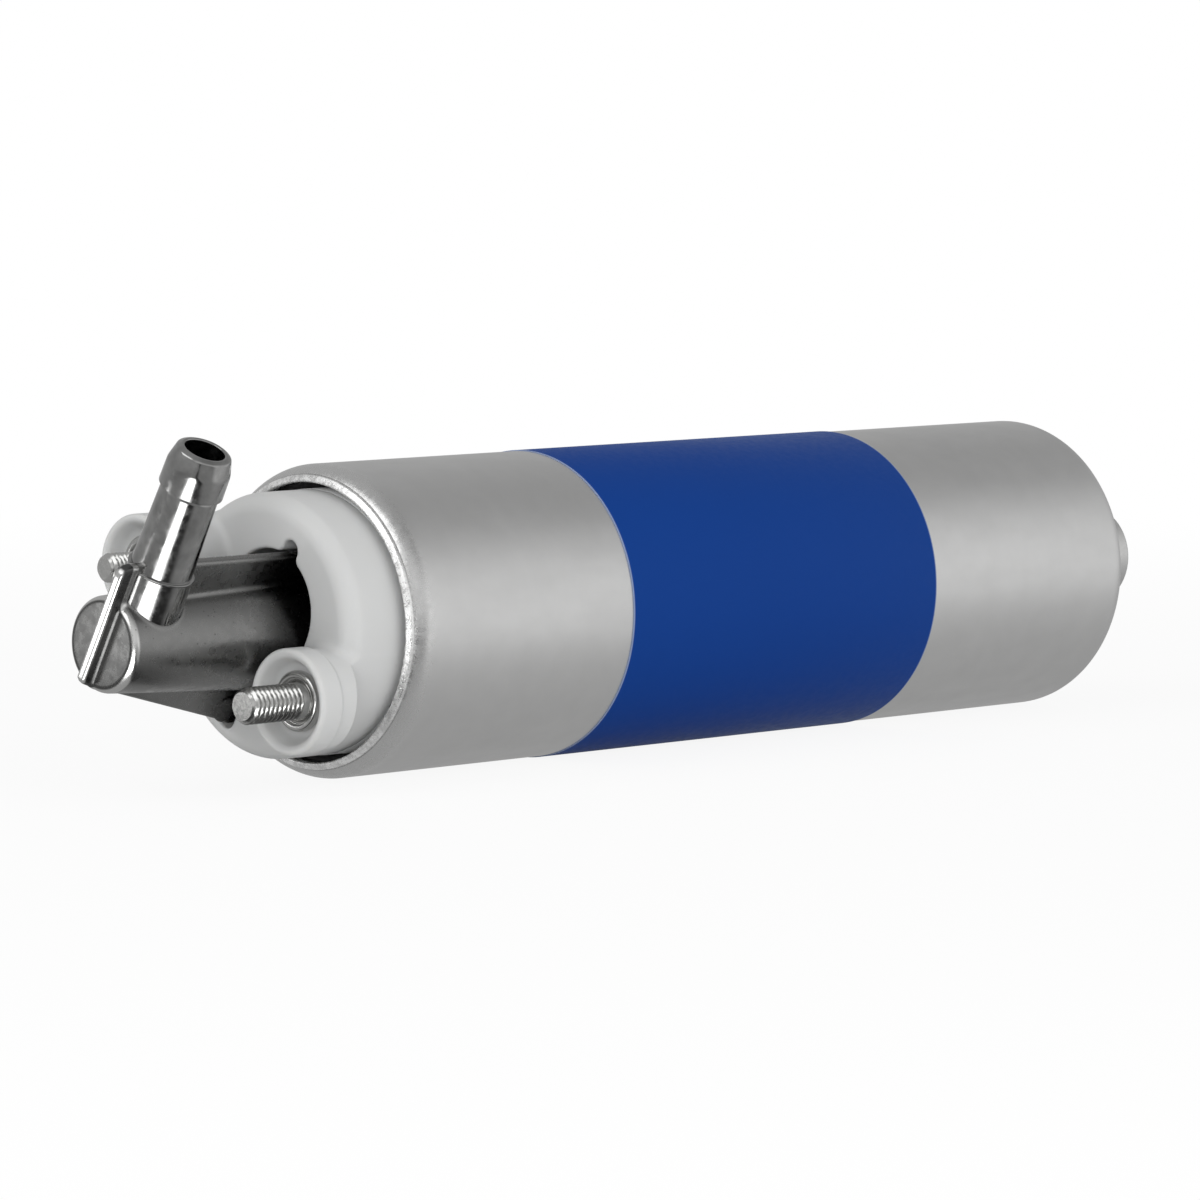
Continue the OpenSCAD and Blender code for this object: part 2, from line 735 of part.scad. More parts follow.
module commutator_bars() {
    x_end = x_comm + comm_len;
    color("#b06a35") difference() {
        union() {
            sleeve(x_comm, x_end, comm_r - bar_t, comm_r);
            sleeve(x_end - riser_len, x_end, comm_r - bar_t, comm_r + riser_h);
        }
        for (i = [0 : slots - 1]) rotate([360 * (i + 0.5) / slots, 0, 0])
            translate([x_comm - over, -bar_gap / 2, 0]) cube([comm_len + 2 * over, bar_gap, comm_r + 2 * riser_h]);
    }
}
module coupling() {
    x0 = x_cavity + coupling_set;
    x1 = x0 + coupling_len;
    wide = tang / 2 + coupling_play;
    color("#e8e4d0") difference() {
        rod(x0, x1, coupling_r);
        intersection() {
            rod(x0 - over, x1 + over, shaft_r + coupling_play);
            translate([x0 - over, -shaft_d, -wide]) cube([x1 - x0 + 2 * over, 2 * shaft_d, 2 * wide]);
        }
    }
}

// Conjugate screw profiles. Both pitch circles have the radius pitch_r and roll on each other, so
// the driving flank is the path of the idler's edge, and the idler's flank the path of the driving tip.
// A flank point is [radius, angle from the flank's start] at the roll angle t.
function flank_outer(t) = let (x = 2 * cos(t) - cos(2 * t), y = 2 * sin(t) - sin(2 * t))
    [pitch_r * sqrt(x * x + y * y), atan2(y, x)];
function flank_inner(t) =
    let (x = 2 * cos(t) - tip_ratio * cos(2 * t), y = 2 * sin(t) - tip_ratio * sin(2 * t))
    [pitch_r * sqrt(x * x + y * y), -atan2(y, x)];
function on_circle(r, a) = [r * cos(a), r * sin(a)];
function arc_points(r, a0, a1, first, last) =
    [for (i = [first : last]) on_circle(r, a0 + (a1 - a0) * i / land_steps)];
outer_t = acos((5 - tip_ratio * tip_ratio) / 4);
inner_t = acos((3 + tip_ratio * tip_ratio) / (4 * tip_ratio));
flank = flank_outer(outer_t)[1];
land = (90 - flank) / 2;
tip_land = land - 1.2;
flank_steps = 6;
land_steps = 5;
down = [for (i = [1 : flank_steps]) flank_outer(outer_t * (1 - i / flank_steps))];
up = [for (i = [1 : flank_steps]) flank_inner(inner_t * i / flank_steps)];
edge_r = pitch_r - screw_gap;

function driving_half(base) = concat(
    arc_points(tip_r - screw_gap, base - tip_land, base + tip_land, 0, land_steps),
    [for (p = down) on_circle(max(p[0] - screw_gap, edge_r), base + tip_land + flank - p[1])],
    arc_points(edge_r, base + tip_land + flank, base + 180 - tip_land - flank, 1, land_steps - 1),
    [for (i = [flank_steps - 1 : -1 : 0]) let (p = down[i])
        on_circle(max(p[0] - screw_gap, edge_r), base + 180 - tip_land - flank + p[1])]);
function idler_half(base) = concat(
    arc_points(core_r - screw_gap, base - land, base + land, 0, land_steps),
    [for (p = up) on_circle(p[0] - screw_gap, base + land + p[1])],
    arc_points(edge_r, base + land + flank, base + 180 - land - flank, 1, land_steps - 1),
    [for (i = [flank_steps - 1 : -1 : 0]) let (p = up[i])
        on_circle(p[0] - screw_gap, base + 180 - land - p[1])]);
module screw_thread(outline, twist) {
    translate([x_bore + screw_end, 0, 0]) rotate([0, 90, 0])
        linear_extrude(screw_len - 2 * screw_end, twist = twist, slices = screw_slices, $fn = 30)
            polygon(outline);
}
module driving_screw() {
    color("#9aa0a6") union() {
        screw_thread(concat(driving_half(0), driving_half(180)), screw_twist);
        rod(x_bore - 2.5, x_bore + over, shaft_r);
        tang_rod(x_cavity + screw_stub, x_bore);
    }
}
module at_idler() { translate([0, 0, screw_space]) children(); }
module idler_screw() {
    color("#8b9198") at_idler() screw_thread(concat(idler_half(0), idler_half(180)), -screw_twist);
}

// Pump housing and its covers
module at_relief() { translate([0, 0, -relief_at]) children(); }
module rear_bearing() {
    x0 = x_pump + rear_bearing_set;
    color("#a8763e") sleeve(x0, x0 + bearing_len, shaft_r + run, bearing_r);
}
module at_plate_screws() { for (a = [25, 155, 235, 305]) polar(a, plate_screw_at) children(); }
module pump_housing() {
    x0 = x_pump + rear_bearing_set;
    color("#a9adb0") difference() {
        rod(x_pump, x_plate, inner_r);
        rod(x0, x0 + bearing_len, bearing_r);
        rod(x_pump - over, x_cavity + over, shaft_r + 1);
        rod(x_cavity, x_bore, cavity_r);
        rod(x_bore - over, x_plate + over, tip_r);
        at_idler() rod(x_bore, x_plate + over, pitch_r);
        for (a = [0, 60, 120, 180]) polar(a, feed_at) rod(x_pump - over, x_cavity + over, feed_r);
        at_relief() {
            rod(x_pump - over, x_relief + over, relief_port);
            rod(x_relief, x_plate + over, relief_r);
        }
        at_plate_screws() rod(x_plate - plate_screw_len - 0.5, x_plate + over, plate_screw_r);
        sleeve(x_pump_seal - groove_w / 2, x_pump_seal + groove_w / 2, groove_r, tube_r);
    }
}
module pump_seal() { color("#222222") o_ring(x_pump_seal, tube_seal_at, seal_r); }
module suction_plate() {
    color("#b9bdc0") difference() {
        rod(x_plate, x_cover, inner_r);
        for (s = [-1, 1]) translate([0, s * suction_at[0], suction_at[1]])
            rod(x_plate - over, x_cover + over, suction_r);
        at_relief() rod(x_plate - over, x_cover + over, relief_drain);
        at_plate_screws() rod(x_plate - over, x_cover + over, plate_screw_r);
    }
}
module plate_screws() {
    color("#55585a") at_plate_screws() difference() {
        union() {
            rod(x_plate - plate_screw_len, x_cover, plate_screw_r);
            rod(x_cover, x_cover + screw_head_t, screw_head_r);
        }
        translate([x_cover + screw_head_t / 2, 0, 0]) rotate([0, 90, 0])
            cylinder(h = screw_head_t, r = hex_r, $fn = 6);
    }
}
module relief_poppet() {
    x_end = x_relief + poppet_len;
    head_r = relief_r - run;
    color("#c9a25a") at_relief() turn() polygon([[0, x_relief], [head_r - 0.8, x_relief],
        [head_r, x_relief + 0.8], [head_r, x_end], [0, x_end]]);
}
module relief_spring() {
    color("#c8c8c8") at_relief() translate([x_relief + poppet_len, 0, 0]) rotate([0, 90, 0])
        coil(2.4, 0.4, x_plate - plug_t - x_relief - poppet_len, 7);
}
module relief_plug() { color("#b9bdc0") at_relief() sleeve(x_plate - plug_t, x_plate, plug_bore, relief_r); }

// Inlet cover with the spigot, its seal and the strainer
module inlet_cover() {
    round_r = in_roll + 0.3;
    x_tip = rear_len + spigot_len;
    cavity = inner_r - cover_wall;
    color("#a6a9ab") turn() difference() {
        union() {
            translate([0, x_cover]) square([inner_r, cover_len - round_r]);
            translate([inner_r - round_r, x_wall - round_r]) circle(round_r);
            translate([0, x_cover]) square([inner_r - round_r, cover_len]);
            translate([0, x_cover]) square([spigot_neck_r, rear_len - x_cover + spigot_neck_len]);
            polygon([[0, x_wall], [spigot_r, x_wall], [spigot_r, x_tip - spigot_edge],
                [spigot_r - spigot_edge, x_tip], [0, x_tip]]);
        }
        square([spigot_bore / 2, x_tip + over]);
        polygon([[0, x_cover - over], [cavity, x_cover - over], [cavity, x_cover + cover_depth],
            [flange_r, x_cover + strainer_seat], [0, x_cover + strainer_seat]]);
        translate([0, x_cover + strainer_seat - over]) square([flange_r, 2 * over]);
        translate([inlet_seal_at - inlet_groove[0] / 2, x_wall - inlet_groove[1]])
            square([inlet_groove[0], inlet_groove[1] + over]);
    }
}
module inlet_seal() { color("#222222") o_ring(x_wall - inlet_seal_r - seal_gap, inlet_seal_at, inlet_seal_r); }
module inlet_strainer() {
    x0 = x_cover + strainer_seat;
    x1 = rear_len + spigot_len - strainer_set;
    color("#d9d6c8") turn() difference() {
        union() {
            translate([0, x0]) square([flange_r - fit, over]);
            translate([0, x0]) square([strainer_r, x1 - x0]);
        }
        translate([0, x0 - over]) square([strainer_r - strainer_t, x1 - x0 + over - strainer_t]);
    }
}

housing_tube();
band();
end_cap();
cap_seal();
outlet_fitting();
outlet_seal();
check_valve_seat();
check_valve_poppet();
check_valve_spring();
stud_large();
stud_small();
stud_seals();
stud_nuts();
terminal_straps();
choke_cores();
choke_coils();
brush_holder();
front_bearing();
brush_upper();
brush_lower();
brush_spring_upper();
brush_spring_lower();
brush_caps();
flux_ring();
magnets();
magnet_clips();
rotor_shaft();
thrust_washers();
armature_core();
windings();
commutator_hub();
commutator_bars();
coupling();
driving_screw();
idler_screw();
rear_bearing();
pump_housing();
pump_seal();
suction_plate();
plate_screws();
relief_poppet();
relief_spring();
relief_plug();
inlet_cover();
inlet_seal();
inlet_strainer();
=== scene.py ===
"""Looks of an inline fuel pump, laid out as a Blender add-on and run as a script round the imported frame."""

import json
import math

import bmesh
import bpy
import numpy as np
import openvdb
from bpy.props import FloatProperty, FloatVectorProperty, IntProperty, PointerProperty
from mathutils import Matrix, Vector


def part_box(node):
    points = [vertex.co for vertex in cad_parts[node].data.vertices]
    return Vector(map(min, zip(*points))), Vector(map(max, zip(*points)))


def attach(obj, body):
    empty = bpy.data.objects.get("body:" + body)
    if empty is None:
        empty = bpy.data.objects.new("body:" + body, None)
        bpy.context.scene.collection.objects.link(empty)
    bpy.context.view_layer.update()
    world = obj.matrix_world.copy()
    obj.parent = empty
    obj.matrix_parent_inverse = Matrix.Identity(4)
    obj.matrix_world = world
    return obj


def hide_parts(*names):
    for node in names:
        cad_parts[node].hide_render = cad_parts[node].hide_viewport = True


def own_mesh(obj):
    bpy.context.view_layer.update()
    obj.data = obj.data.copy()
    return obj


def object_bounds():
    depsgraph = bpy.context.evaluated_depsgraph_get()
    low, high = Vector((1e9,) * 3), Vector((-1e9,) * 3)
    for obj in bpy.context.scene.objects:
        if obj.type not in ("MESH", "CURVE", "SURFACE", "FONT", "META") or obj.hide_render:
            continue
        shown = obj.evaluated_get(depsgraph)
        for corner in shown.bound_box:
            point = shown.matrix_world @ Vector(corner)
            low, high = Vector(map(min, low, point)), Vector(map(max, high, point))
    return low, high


bl_info = {
    "name": "Inline fuel pump",
    "version": (1, 0, 0),
    "blender": (4, 5, 0),
    "location": "3D View > Sidebar > Fuel Pump",
    "description": "Dresses the packed frame of an inline fuel pump",
    "category": "Add Mesh",
}

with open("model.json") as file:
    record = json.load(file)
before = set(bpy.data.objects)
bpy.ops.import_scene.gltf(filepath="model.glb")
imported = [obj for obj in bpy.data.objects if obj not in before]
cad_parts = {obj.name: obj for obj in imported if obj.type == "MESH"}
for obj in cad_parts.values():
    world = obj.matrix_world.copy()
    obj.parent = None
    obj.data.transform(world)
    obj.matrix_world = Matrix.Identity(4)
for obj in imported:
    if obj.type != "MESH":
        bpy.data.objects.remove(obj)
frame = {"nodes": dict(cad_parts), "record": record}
CAD_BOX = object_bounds()
MM = 0.001
TUBE_LOW, TUBE_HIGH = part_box("housing_tube")
BAND_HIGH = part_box("band")[1]
COVER_LOW, COVER_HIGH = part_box("inlet_cover")
LARGE_LOW, LARGE_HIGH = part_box("stud_large")
SMALL_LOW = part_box("stud_small")[0]


# Sizes and colours that a user can change
def size(label, description, metres):
    return FloatProperty(name=label, description=description, default=metres, subtype="DISTANCE",
                         unit="LENGTH", precision=5)


def mm(label, description, value):
    return size(label, description, value * MM)


def angle(label, description, degrees):
    return FloatProperty(name=label, description=description, default=math.radians(degrees),
                         subtype="ANGLE", unit="ROTATION")


def amount(label, description, value, low=0.0, high=1.0):
    return FloatProperty(name=label, description=description, default=value, min=low, max=high)


def colour(label, description, value):
    return FloatVectorProperty(name=label, description=description, default=value, subtype="COLOR",
                               size=3, min=0.0, max=1.0)


class TubeSizes(bpy.types.PropertyGroup):
    """Sizes of the rolled tube and its coloured band"""
    radius: size("Radius", "Outside radius of the tube", TUBE_HIGH.z)
    wall: mm("Wall", "Thickness of the tube's wall", 1.25)
    lip_x: size("Lip", "Place of the rolled lip's edge along X", TUBE_LOW.x)
    rear_x: size("Rear face", "Place of the rear face along X", TUBE_HIGH.x)
    lip_radius: mm("Lip opening", "Radius of the opening inside the lip", 19.1)
    bevel: mm("Lip bevel", "Length of the burnished bevel", 1.0)
    ring_rise: mm("Ring rise", "How far the burnished ring stands before the crease", 0.42)
    roll: mm("Front roll", "Radius of the rolled shoulder", 3.0)
    roll_angle: angle("Roll angle", "Turn of the rolled shoulder before its bevel", 55.0)
    rear_roll: mm("Rear shoulder", "Radius of the drawn rear shoulder", 3.8)
    rear_wall: mm("Rear wall", "Thickness of the rear wall", 1.5)
    rear_hole: mm("Rear hole", "Radius of the hole round the spigot's neck", 9.45)
    band_half: size("Band half length", "Half the length of the band", BAND_HIGH.x)
    band_radius: size("Band radius", "Outside radius of the band", BAND_HIGH.z)


class CapSizes(bpy.types.PropertyGroup):
    """Sizes of the moulded end cap"""
    radius: mm("Radius", "Radius of the cap where it leaves the lip", 18.1)
    crest_x: mm("Crest", "Place of the crest along X", -82.5)
    plate_x: mm("Plate", "Place of the plate's front face along X", -72.35)
    edge: mm("Edge", "Radius of the outer edge", 2.7)
    dish: mm("Dish", "Drop of the front face towards the recess", 0.3)
    recess: mm("Recess", "Radius of the ends of the oblong recess round the outlet", 8.1)
    recess_reach: mm("Recess reach", "From the outlet's axis to the middle of each end", 3.6)
    slot: mm("Slot width", "Width of the slots for the fitting's web", 2.8)
    slot_up: mm("Upper slot", "Reach of the upper slot from the outlet's axis", 14.1)
    slot_down: mm("Lower slot", "Reach of the lower slot from the outlet's axis", 15.3)
    stud_at: mm("Stud radius", "Distance of each stud from the middle between them", 15.5)
    stud_angle: angle("Stud angle", "Turn of the stud line from the Y axis", 33.0)
    stud_drop: mm("Stud drop", "Drop of the studs' middle below the tube's axis", 0.35)
    large_boss: mm("Larger boss", "Radius of the larger stud's boss", 7.15)
    large_rise: mm("Larger rise", "Height of the larger boss above the crest", 7.1)
    large_head: mm("Head", "Length of the larger boss's head", 3.7)
    large_foot: mm("Foot", "Radius of the larger boss below its head", 6.75)
    small_boss: mm("Smaller boss", "Radius of the smaller stud's boss", 7.05)
    small_rise: mm("Smaller rise", "Height of the smaller boss above the crest", 10.6)
    bore: mm("Funnel", "Radius of the funnel round each stud at the boss's face", 6.1)
    bore_floor: mm("Funnel floor", "Radius of the funnel's floor", 4.7)
    bore_depth: mm("Funnel depth", "Depth of the funnels", 2.8)
    shank: mm("Shank", "Radius of each stud inside the cap's front", 1.55)
    fillet: mm("Fillet", "Radius where a boss meets the crest", 1.3)
    groove_low: mm("Groove inside", "Inner radius of the groove behind the lip", 18.15)
    groove_high: mm("Groove outside", "Outer radius of the groove behind the lip", 19.6)
    groove_depth: mm("Groove depth", "Depth of the groove behind the lip", 3.2)
    grid: mm("Mesh step", "Step of the mesh", 0.252)


class FittingSizes(bpy.types.PropertyGroup):
    """Sizes of the cast outlet fitting and its turned nipple"""
    drop: mm("Drop", "Drop of the fitting's axis below the tube's axis", 0.6)
    tilt: angle("Tilt", "Tilt of the nipple from vertical", 28.3)
    barrel: mm("Barrel", "Radius of the barrel behind the cap's crest", 7.9)
    barrel_tip: mm("Barrel tip", "Radius of the tapered barrel at its end", 6.45)
    barrel_x: mm("Barrel end", "Place of the barrel's end along X", -110.7)
    barrel_edge: mm("Barrel edge", "Radius of the barrel's end edge", 0.95)
    barrel_rear: mm("Barrel rear", "Place of the barrel's rear end along X", -72.0)
    nipple_x: mm("Nipple", "Place of the nipple's axis along X", -104.9)
    length: mm("Nipple length", "From the barrel's axis to the nipple's mouth", 29.6)
    root: mm("Root", "Radius of the nipple at its turned step", 4.2)
    step: mm("Step", "Height of the turned step above the barrel's axis", 11.5)
    step_width: mm("Step width", "Width of the turned step", 0.3)
    burr: mm("Burr", "Height of the raised edge round the turned step", 0.13)
    neck: mm("Neck", "Radius of the nipple below its barb", 3.95)
    barb: mm("Barb", "Radius of the hose barb", 4.4)
    land: mm("Barb edge", "Height of the barb's lower edge", 23.75)
    mouth: mm("Mouth", "Radius of the mouth's rounded rim", 3.6)
    bore: mm("Bore", "Radius of the nipple's bore", 2.75)
    web: mm("Web", "Thickness of the web", 1.5)
    fin: mm("Fin", "Height of the fin in front of the barrel", 1.7)
    fin_low: mm("Fin foot", "Depth of the fin's corner below the barrel's axis", 5.2)
    web_top: mm("Web top", "Height of the upper web", 12.3)
    web_low: mm("Web foot", "Depth of the lower web's corner", 14.4)
    grid: mm("Mesh step", "Step of the mesh", 0.218)


class StudSizes(bpy.types.PropertyGroup):
    """Sizes of the two terminal studs"""
    large_tip_x: size("Larger tip", "Place of the larger stud's tip along X", LARGE_LOW.x)
    small_tip_x: size("Smaller tip", "Place of the smaller stud's tip along X", SMALL_LOW.x)
    tail_x: size("Tail", "Place of the stud tails along X", LARGE_HIGH.x)
    large: mm("Larger thread", "Radius of the larger thread", 2.5)
    large_pitch: mm("Larger pitch", "Pitch of the larger thread", 0.8)
    large_collar_x: mm("Larger collar", "Place of the larger stud's collar along X", -88.1)
    small: mm("Smaller thread", "Radius of the smaller thread", 2.0)
    small_pitch: mm("Smaller pitch", "Pitch of the smaller thread", 0.7)
    small_collar_x: mm("Smaller collar", "Place of the smaller stud's collar along X", -91.6)
    collar: size("Collar", "Radius of the collars", (LARGE_HIGH.y - LARGE_LOW.y) / 2)
    chamfer: mm("Chamfer", "Chamfer of the stud tips", 0.6)
    around: IntProperty(name="Thread sides", description="Number of faces round a thread", default=96)


class CoverSizes(bpy.types.PropertyGroup):
    """Sizes of the inlet cover and its spigot"""
    front_x: size("Front", "Place of the cover's front face along X", COVER_LOW.x)
    tip_x: size("Tip", "Place of the spigot's tip along X", COVER_HIGH.x)
    radius: size("Radius", "Radius of the cover in the tube", COVER_HIGH.z)
    spigot: mm("Spigot", "Radius of the spigot", 7.5)
    bore: mm("Bore", "Radius of the spigot's bore", 5.4)
    neck: mm("Neck", "Radius of the neck in the rear wall", 9.4)
    neck_x: mm("Neck end", "Place of the neck's end along X", 78.3)


class FinishColours(bpy.types.PropertyGroup):
    """Colours of the finishes"""
    tube: colour("Tube", "Satin aluminium", (0.6, 0.6, 0.597))
    band: colour("Band", "Blue film", (0.0062, 0.0425, 0.222))
    film_edge: colour("Film edge", "Pale cut edge of the blue film", (0.3, 0.36, 0.5))
    cap: colour("Cap", "White moulded plastic", (0.575, 0.58, 0.577))
    casting: colour("Casting", "Dark die-cast metal", (0.21, 0.21, 0.207))
    nipple: colour("Nipple", "Turned metal", (0.29, 0.29, 0.287))
    stud: colour("Studs", "Zinc-plated steel", (0.5, 0.5, 0.49))
    floor: colour("Floor", "Pale floor", (0.9, 0.9, 0.9))


class StageSizes(bpy.types.PropertyGroup):
    """Camera, lamps and floor"""
    camera: FloatVectorProperty(name="Camera", description="Place of the camera", size=3, precision=5,
                                subtype="TRANSLATION", unit="LENGTH", default=(-0.66173, -0.62245, 0.07527))
    forward: FloatVectorProperty(name="View", description="Direction of the view", size=3, precision=5,
                                 subtype="DIRECTION", default=(0.7173, 0.6917, -0.0841))
    lens: FloatProperty(name="Lens", description="Focal length in millimetres", default=189.875)
    key_power: amount("Key lamp", "Power of the broad front lamp in watts", 3.6, 0.0, 1000.0)
    side_power: amount("Side lamp", "Power of the lamp at the outlet end in watts", 3.3, 0.0, 1000.0)
    strip_power: amount("Strip lamp", "Power of the low strip that the nipple mirrors, in watts", 0.05,
                        0.0, 100.0)
    fin_power: amount("Fin lamp", "Power of the small strip that the fin's edge mirrors, in watts", 0.0055,
                      0.0, 100.0)
    fill_power: amount("Fill lamp", "Power of the low fill lamp at the outlet end in watts", 2.4, 0.0, 1000.0)
    strip_turn: angle("Strip turn", "Turn of the low strip from the X axis", 43.0)
    card_level: amount("Dark card", "How bright the dark card beside the low strip is in the metal", 0.05)
    world_low: amount("Overhead", "Strength of the light from above and behind", 0.42, 0.0, 10.0)
    world_high: amount("Front", "Strength of the light from the front", 1.0, 0.0, 10.0)
    world_roll: amount("Side", "Extra light from the front of the outlet end", 0.42, 0.0, 10.0)
    floor_near: amount("Floor near", "How bright the metal mirrors the floor beneath it", 0.46)
    floor_far: amount("Floor far", "How bright the metal mirrors the floor in front of it", 0.95)
    floor_share: amount("Floor white", "Share of plain white in the floor that the camera sees", 0.9)


class PumpSettings(bpy.types.PropertyGroup):
    """All the settings of the pump"""
    tube: PointerProperty(type=TubeSizes)
    cap: PointerProperty(type=CapSizes)
    fitting: PointerProperty(type=FittingSizes)
    studs: PointerProperty(type=StudSizes)
    cover: PointerProperty(type=CoverSizes)
    colours: PointerProperty(type=FinishColours)
    stage: PointerProperty(type=StageSizes)


# Nodes for materials and geometry
def add(tree, kind, inputs=None, **settings):
    """A node with its settings and inputs; an input is a value or the socket that feeds it."""
    node = tree.nodes.new(kind)
    for key, value in settings.items():
        setattr(node, key, value)
    for key, value in (inputs or {}).items():
        if isinstance(value, bpy.types.NodeSocket):
            tree.links.new(value, node.inputs[key])
        else:
            node.inputs[key].default_value = value
    return node


class Wiring:
    """A node tree with short calls that add to it; each gives the socket that holds its result."""

    def __init__(self, tree):
        self.tree = tree

    def math(self, operation, *values, clamp=False):
        inputs = dict(enumerate(values))
        return add(self.tree, "ShaderNodeMath", inputs, operation=operation, use_clamp=clamp).outputs[0]

    def chain(self, operation, result, *others):
        for other in others:
            result = self.math(operation, result, other)
        return result

    def plus(self, *values):
        return self.chain("ADD", *values)

    def less(self, *values):
        return self.chain("SUBTRACT", *values)

    def times(self, *values):
        return self.chain("MULTIPLY", *values)

    def vector(self, operation, *values, **named):
        """One Vector Math node: a vector, or a value where the operation gives one."""
        inputs = {**dict(enumerate(values)), **named}
        made = add(self.tree, "ShaderNodeVectorMath", inputs, operation=operation)
        return made.outputs["Value" if operation in ("DOT_PRODUCT", "LENGTH") else "Vector"]

    def ramp(self, value, low, high, out_low=0.0, out_high=1.0):
        """value moved from low to high into out_low to out_high, smoothly and held at its ends."""
        inputs = {"Value": value, "From Min": low, "From Max": high, "To Min": out_low, "To Max": out_high}
        return add(self.tree, "ShaderNodeMapRange", inputs, interpolation_type="SMOOTHSTEP").outputs["Result"]

    def mix(self, share, plain, other):
        return add(self.tree, "ShaderNodeMix", {0: share, 2: plain, 3: other}).outputs[0]

    def place(self):
        """The place on the piece, in metres."""
        return add(self.tree, "ShaderNodeTexCoord").outputs["Object"]

    def along(self, axis="X"):
        return add(self.tree, "ShaderNodeSeparateXYZ", {0: self.place()}).outputs[axis]

    def noise(self, place, scale, detail, roughness=0.5):
        inputs = {"Vector": place, "Scale": scale, "Detail": detail, "Roughness": roughness}
        return add(self.tree, "ShaderNodeTexNoise", inputs).outputs[0]

    def bump(self, height, strength=1.0, **normal):
        inputs = {"Height": height, "Strength": strength, "Distance": 1.0, **normal}
        return add(self.tree, "ShaderNodeBump", inputs).outputs[0]


def sockets(tree, direction, **kinds):
    """Named sockets on a node group; a value is (kind, default), or a number for a plain value."""
    for name, given in kinds.items():
        kind, default = given if isinstance(given, tuple) else ("Float", given)
        socket = tree.interface.new_socket(name, in_out=direction, socket_type="NodeSocket" + kind)
        if default is not None:
            socket.default_value = default


def new_group(name, ins, outs):
    """An empty shader group, its wiring, the sockets that come in and the node that they go out by."""
    wire = Wiring(bpy.data.node_groups.new(name, "ShaderNodeTree"))
    sockets(wire.tree, "INPUT", **ins)
    sockets(wire.tree, "OUTPUT", **outs)
    return wire, add(wire.tree, "NodeGroupInput").outputs, add(wire.tree, "NodeGroupOutput")


def closed(wire, out, **results):
    """The finished group, with its results led out."""
    for name, socket in results.items():
        wire.tree.links.new(socket, out.inputs[name])
    return wire.tree


def grain_group():
    """Surface grain: a bump and a change of roughness from noise that can be stretched along one way."""
    wire, ins, out = new_group(
        "surface_grain",
        {"Stretch": ("Vector", (1.0, 1.0, 1.0)), "Scale": 1000.0, "Height": 0.00001, "Smooth": 0.3,
         "Rough": 0.4, "Strength": 1.0},
        {"Roughness": None, "Normal": ("Vector", None), "Mask": None})
    placed = add(wire.tree, "ShaderNodeMapping", {"Vector": wire.place(), "Scale": ins["Stretch"]})
    noise = wire.noise(placed.outputs[0], ins["Scale"], 4.0, 0.6)
    bump = wire.bump(wire.times(noise, ins["Height"]), ins["Strength"])
    rough = wire.ramp(noise, 0.3, 0.7, ins["Smooth"], ins["Rough"])
    return closed(wire, out, Roughness=rough, Normal=bump, Mask=noise)


def drift_group():
    """A colour with slow, slight changes, as handling and age leave."""
    wire, ins, out = new_group(
        "colour_drift", {"Colour": ("Color", (0.5, 0.5, 0.5, 1.0)), "Scale": 60.0, "Amount": 0.1},
        {"Colour": ("Color", None)})
    spread = wire.less(wire.noise(wire.place(), ins["Scale"], 3.0), 0.5)
    level = wire.math("MULTIPLY_ADD", spread, ins["Amount"], 1.0)
    return closed(wire, out, Colour=wire.vector("SCALE", ins["Colour"], Scale=level))


def pits_group():
    """The fine skin of a casting: small scattered pits and soft lumps, as a height."""
    wire, ins, out = new_group(
        "casting_pits", {"Scale": 2300.0, "Depth": 0.00003, "Share": 0.06, "Lumps": 0.000016},
        {"Height": None, "Pits": None})
    place = wire.place()
    cells = add(wire.tree, "ShaderNodeTexVoronoi", {"Vector": place, "Scale": ins["Scale"]}).outputs
    near = wire.ramp(cells["Distance"], 0.0, 0.35, 1.0, 0.0)
    drawn = add(wire.tree, "ShaderNodeSeparateColor", {0: cells["Color"]}).outputs[0]
    pits = wire.times(near, wire.math("LESS_THAN", drawn, ins["Share"]))
    lumps = wire.noise(place, 520.0, 3.0)
    height = wire.less(wire.times(lumps, ins["Lumps"]), wire.times(pits, ins["Depth"]))
    return closed(wire, out, Height=height, Pits=pits)


GROUPS = {}
FINISHES = {}


def group(tree, maker, **values):
    """A node of one of the shared groups, with its own values."""
    if maker not in GROUPS:
        GROUPS[maker] = maker()
    node = tree.nodes.new("ShaderNodeGroup")
    node.node_tree = GROUPS[maker]
    for key, value in values.items():
        node.inputs[key].default_value = value
    return node.outputs


class Coat(Wiring):
    """The wiring of one material: its shader, and what feeds the shader's colour, roughness and normal."""

    def __init__(self, material):
        super().__init__(material.node_tree)
        self.material = material
        self.shader = self.tree.nodes["Principled BSDF"]

    def set(self, **values):
        for name, value in values.items():
            self.shader.inputs[name.replace("_", " ")].default_value = value

    def fed(self, name):
        return self.shader.inputs[name].links[0].from_socket

    def feed(self, **made):
        for name, socket in made.items():
            self.tree.links.new(socket, self.shader.inputs[name.replace("_", " ")])


def coated(name, colour, metal, drift=0.08, smooth=0.3, rough=0.4, scale=900.0, height=4e-6,
           stretch=(1.0, 1.0, 1.0), specular=0.5, drift_scale=60.0):
    """The coat of a new material with grain and slow colour changes."""
    material = bpy.data.materials.new(name)
    material.use_nodes = True
    coat = Coat(material)
    coat.set(Metallic=metal, Specular_IOR_Level=specular)
    tint = group(coat.tree, drift_group, Colour=(*colour, 1.0), Amount=drift, Scale=drift_scale)
    grain = group(coat.tree, grain_group, Stretch=stretch, Scale=scale, Height=height, Smooth=smooth,
                  Rough=rough)
    coat.feed(Base_Color=tint["Colour"], Roughness=grain["Roughness"], Normal=grain["Normal"])
    return coat


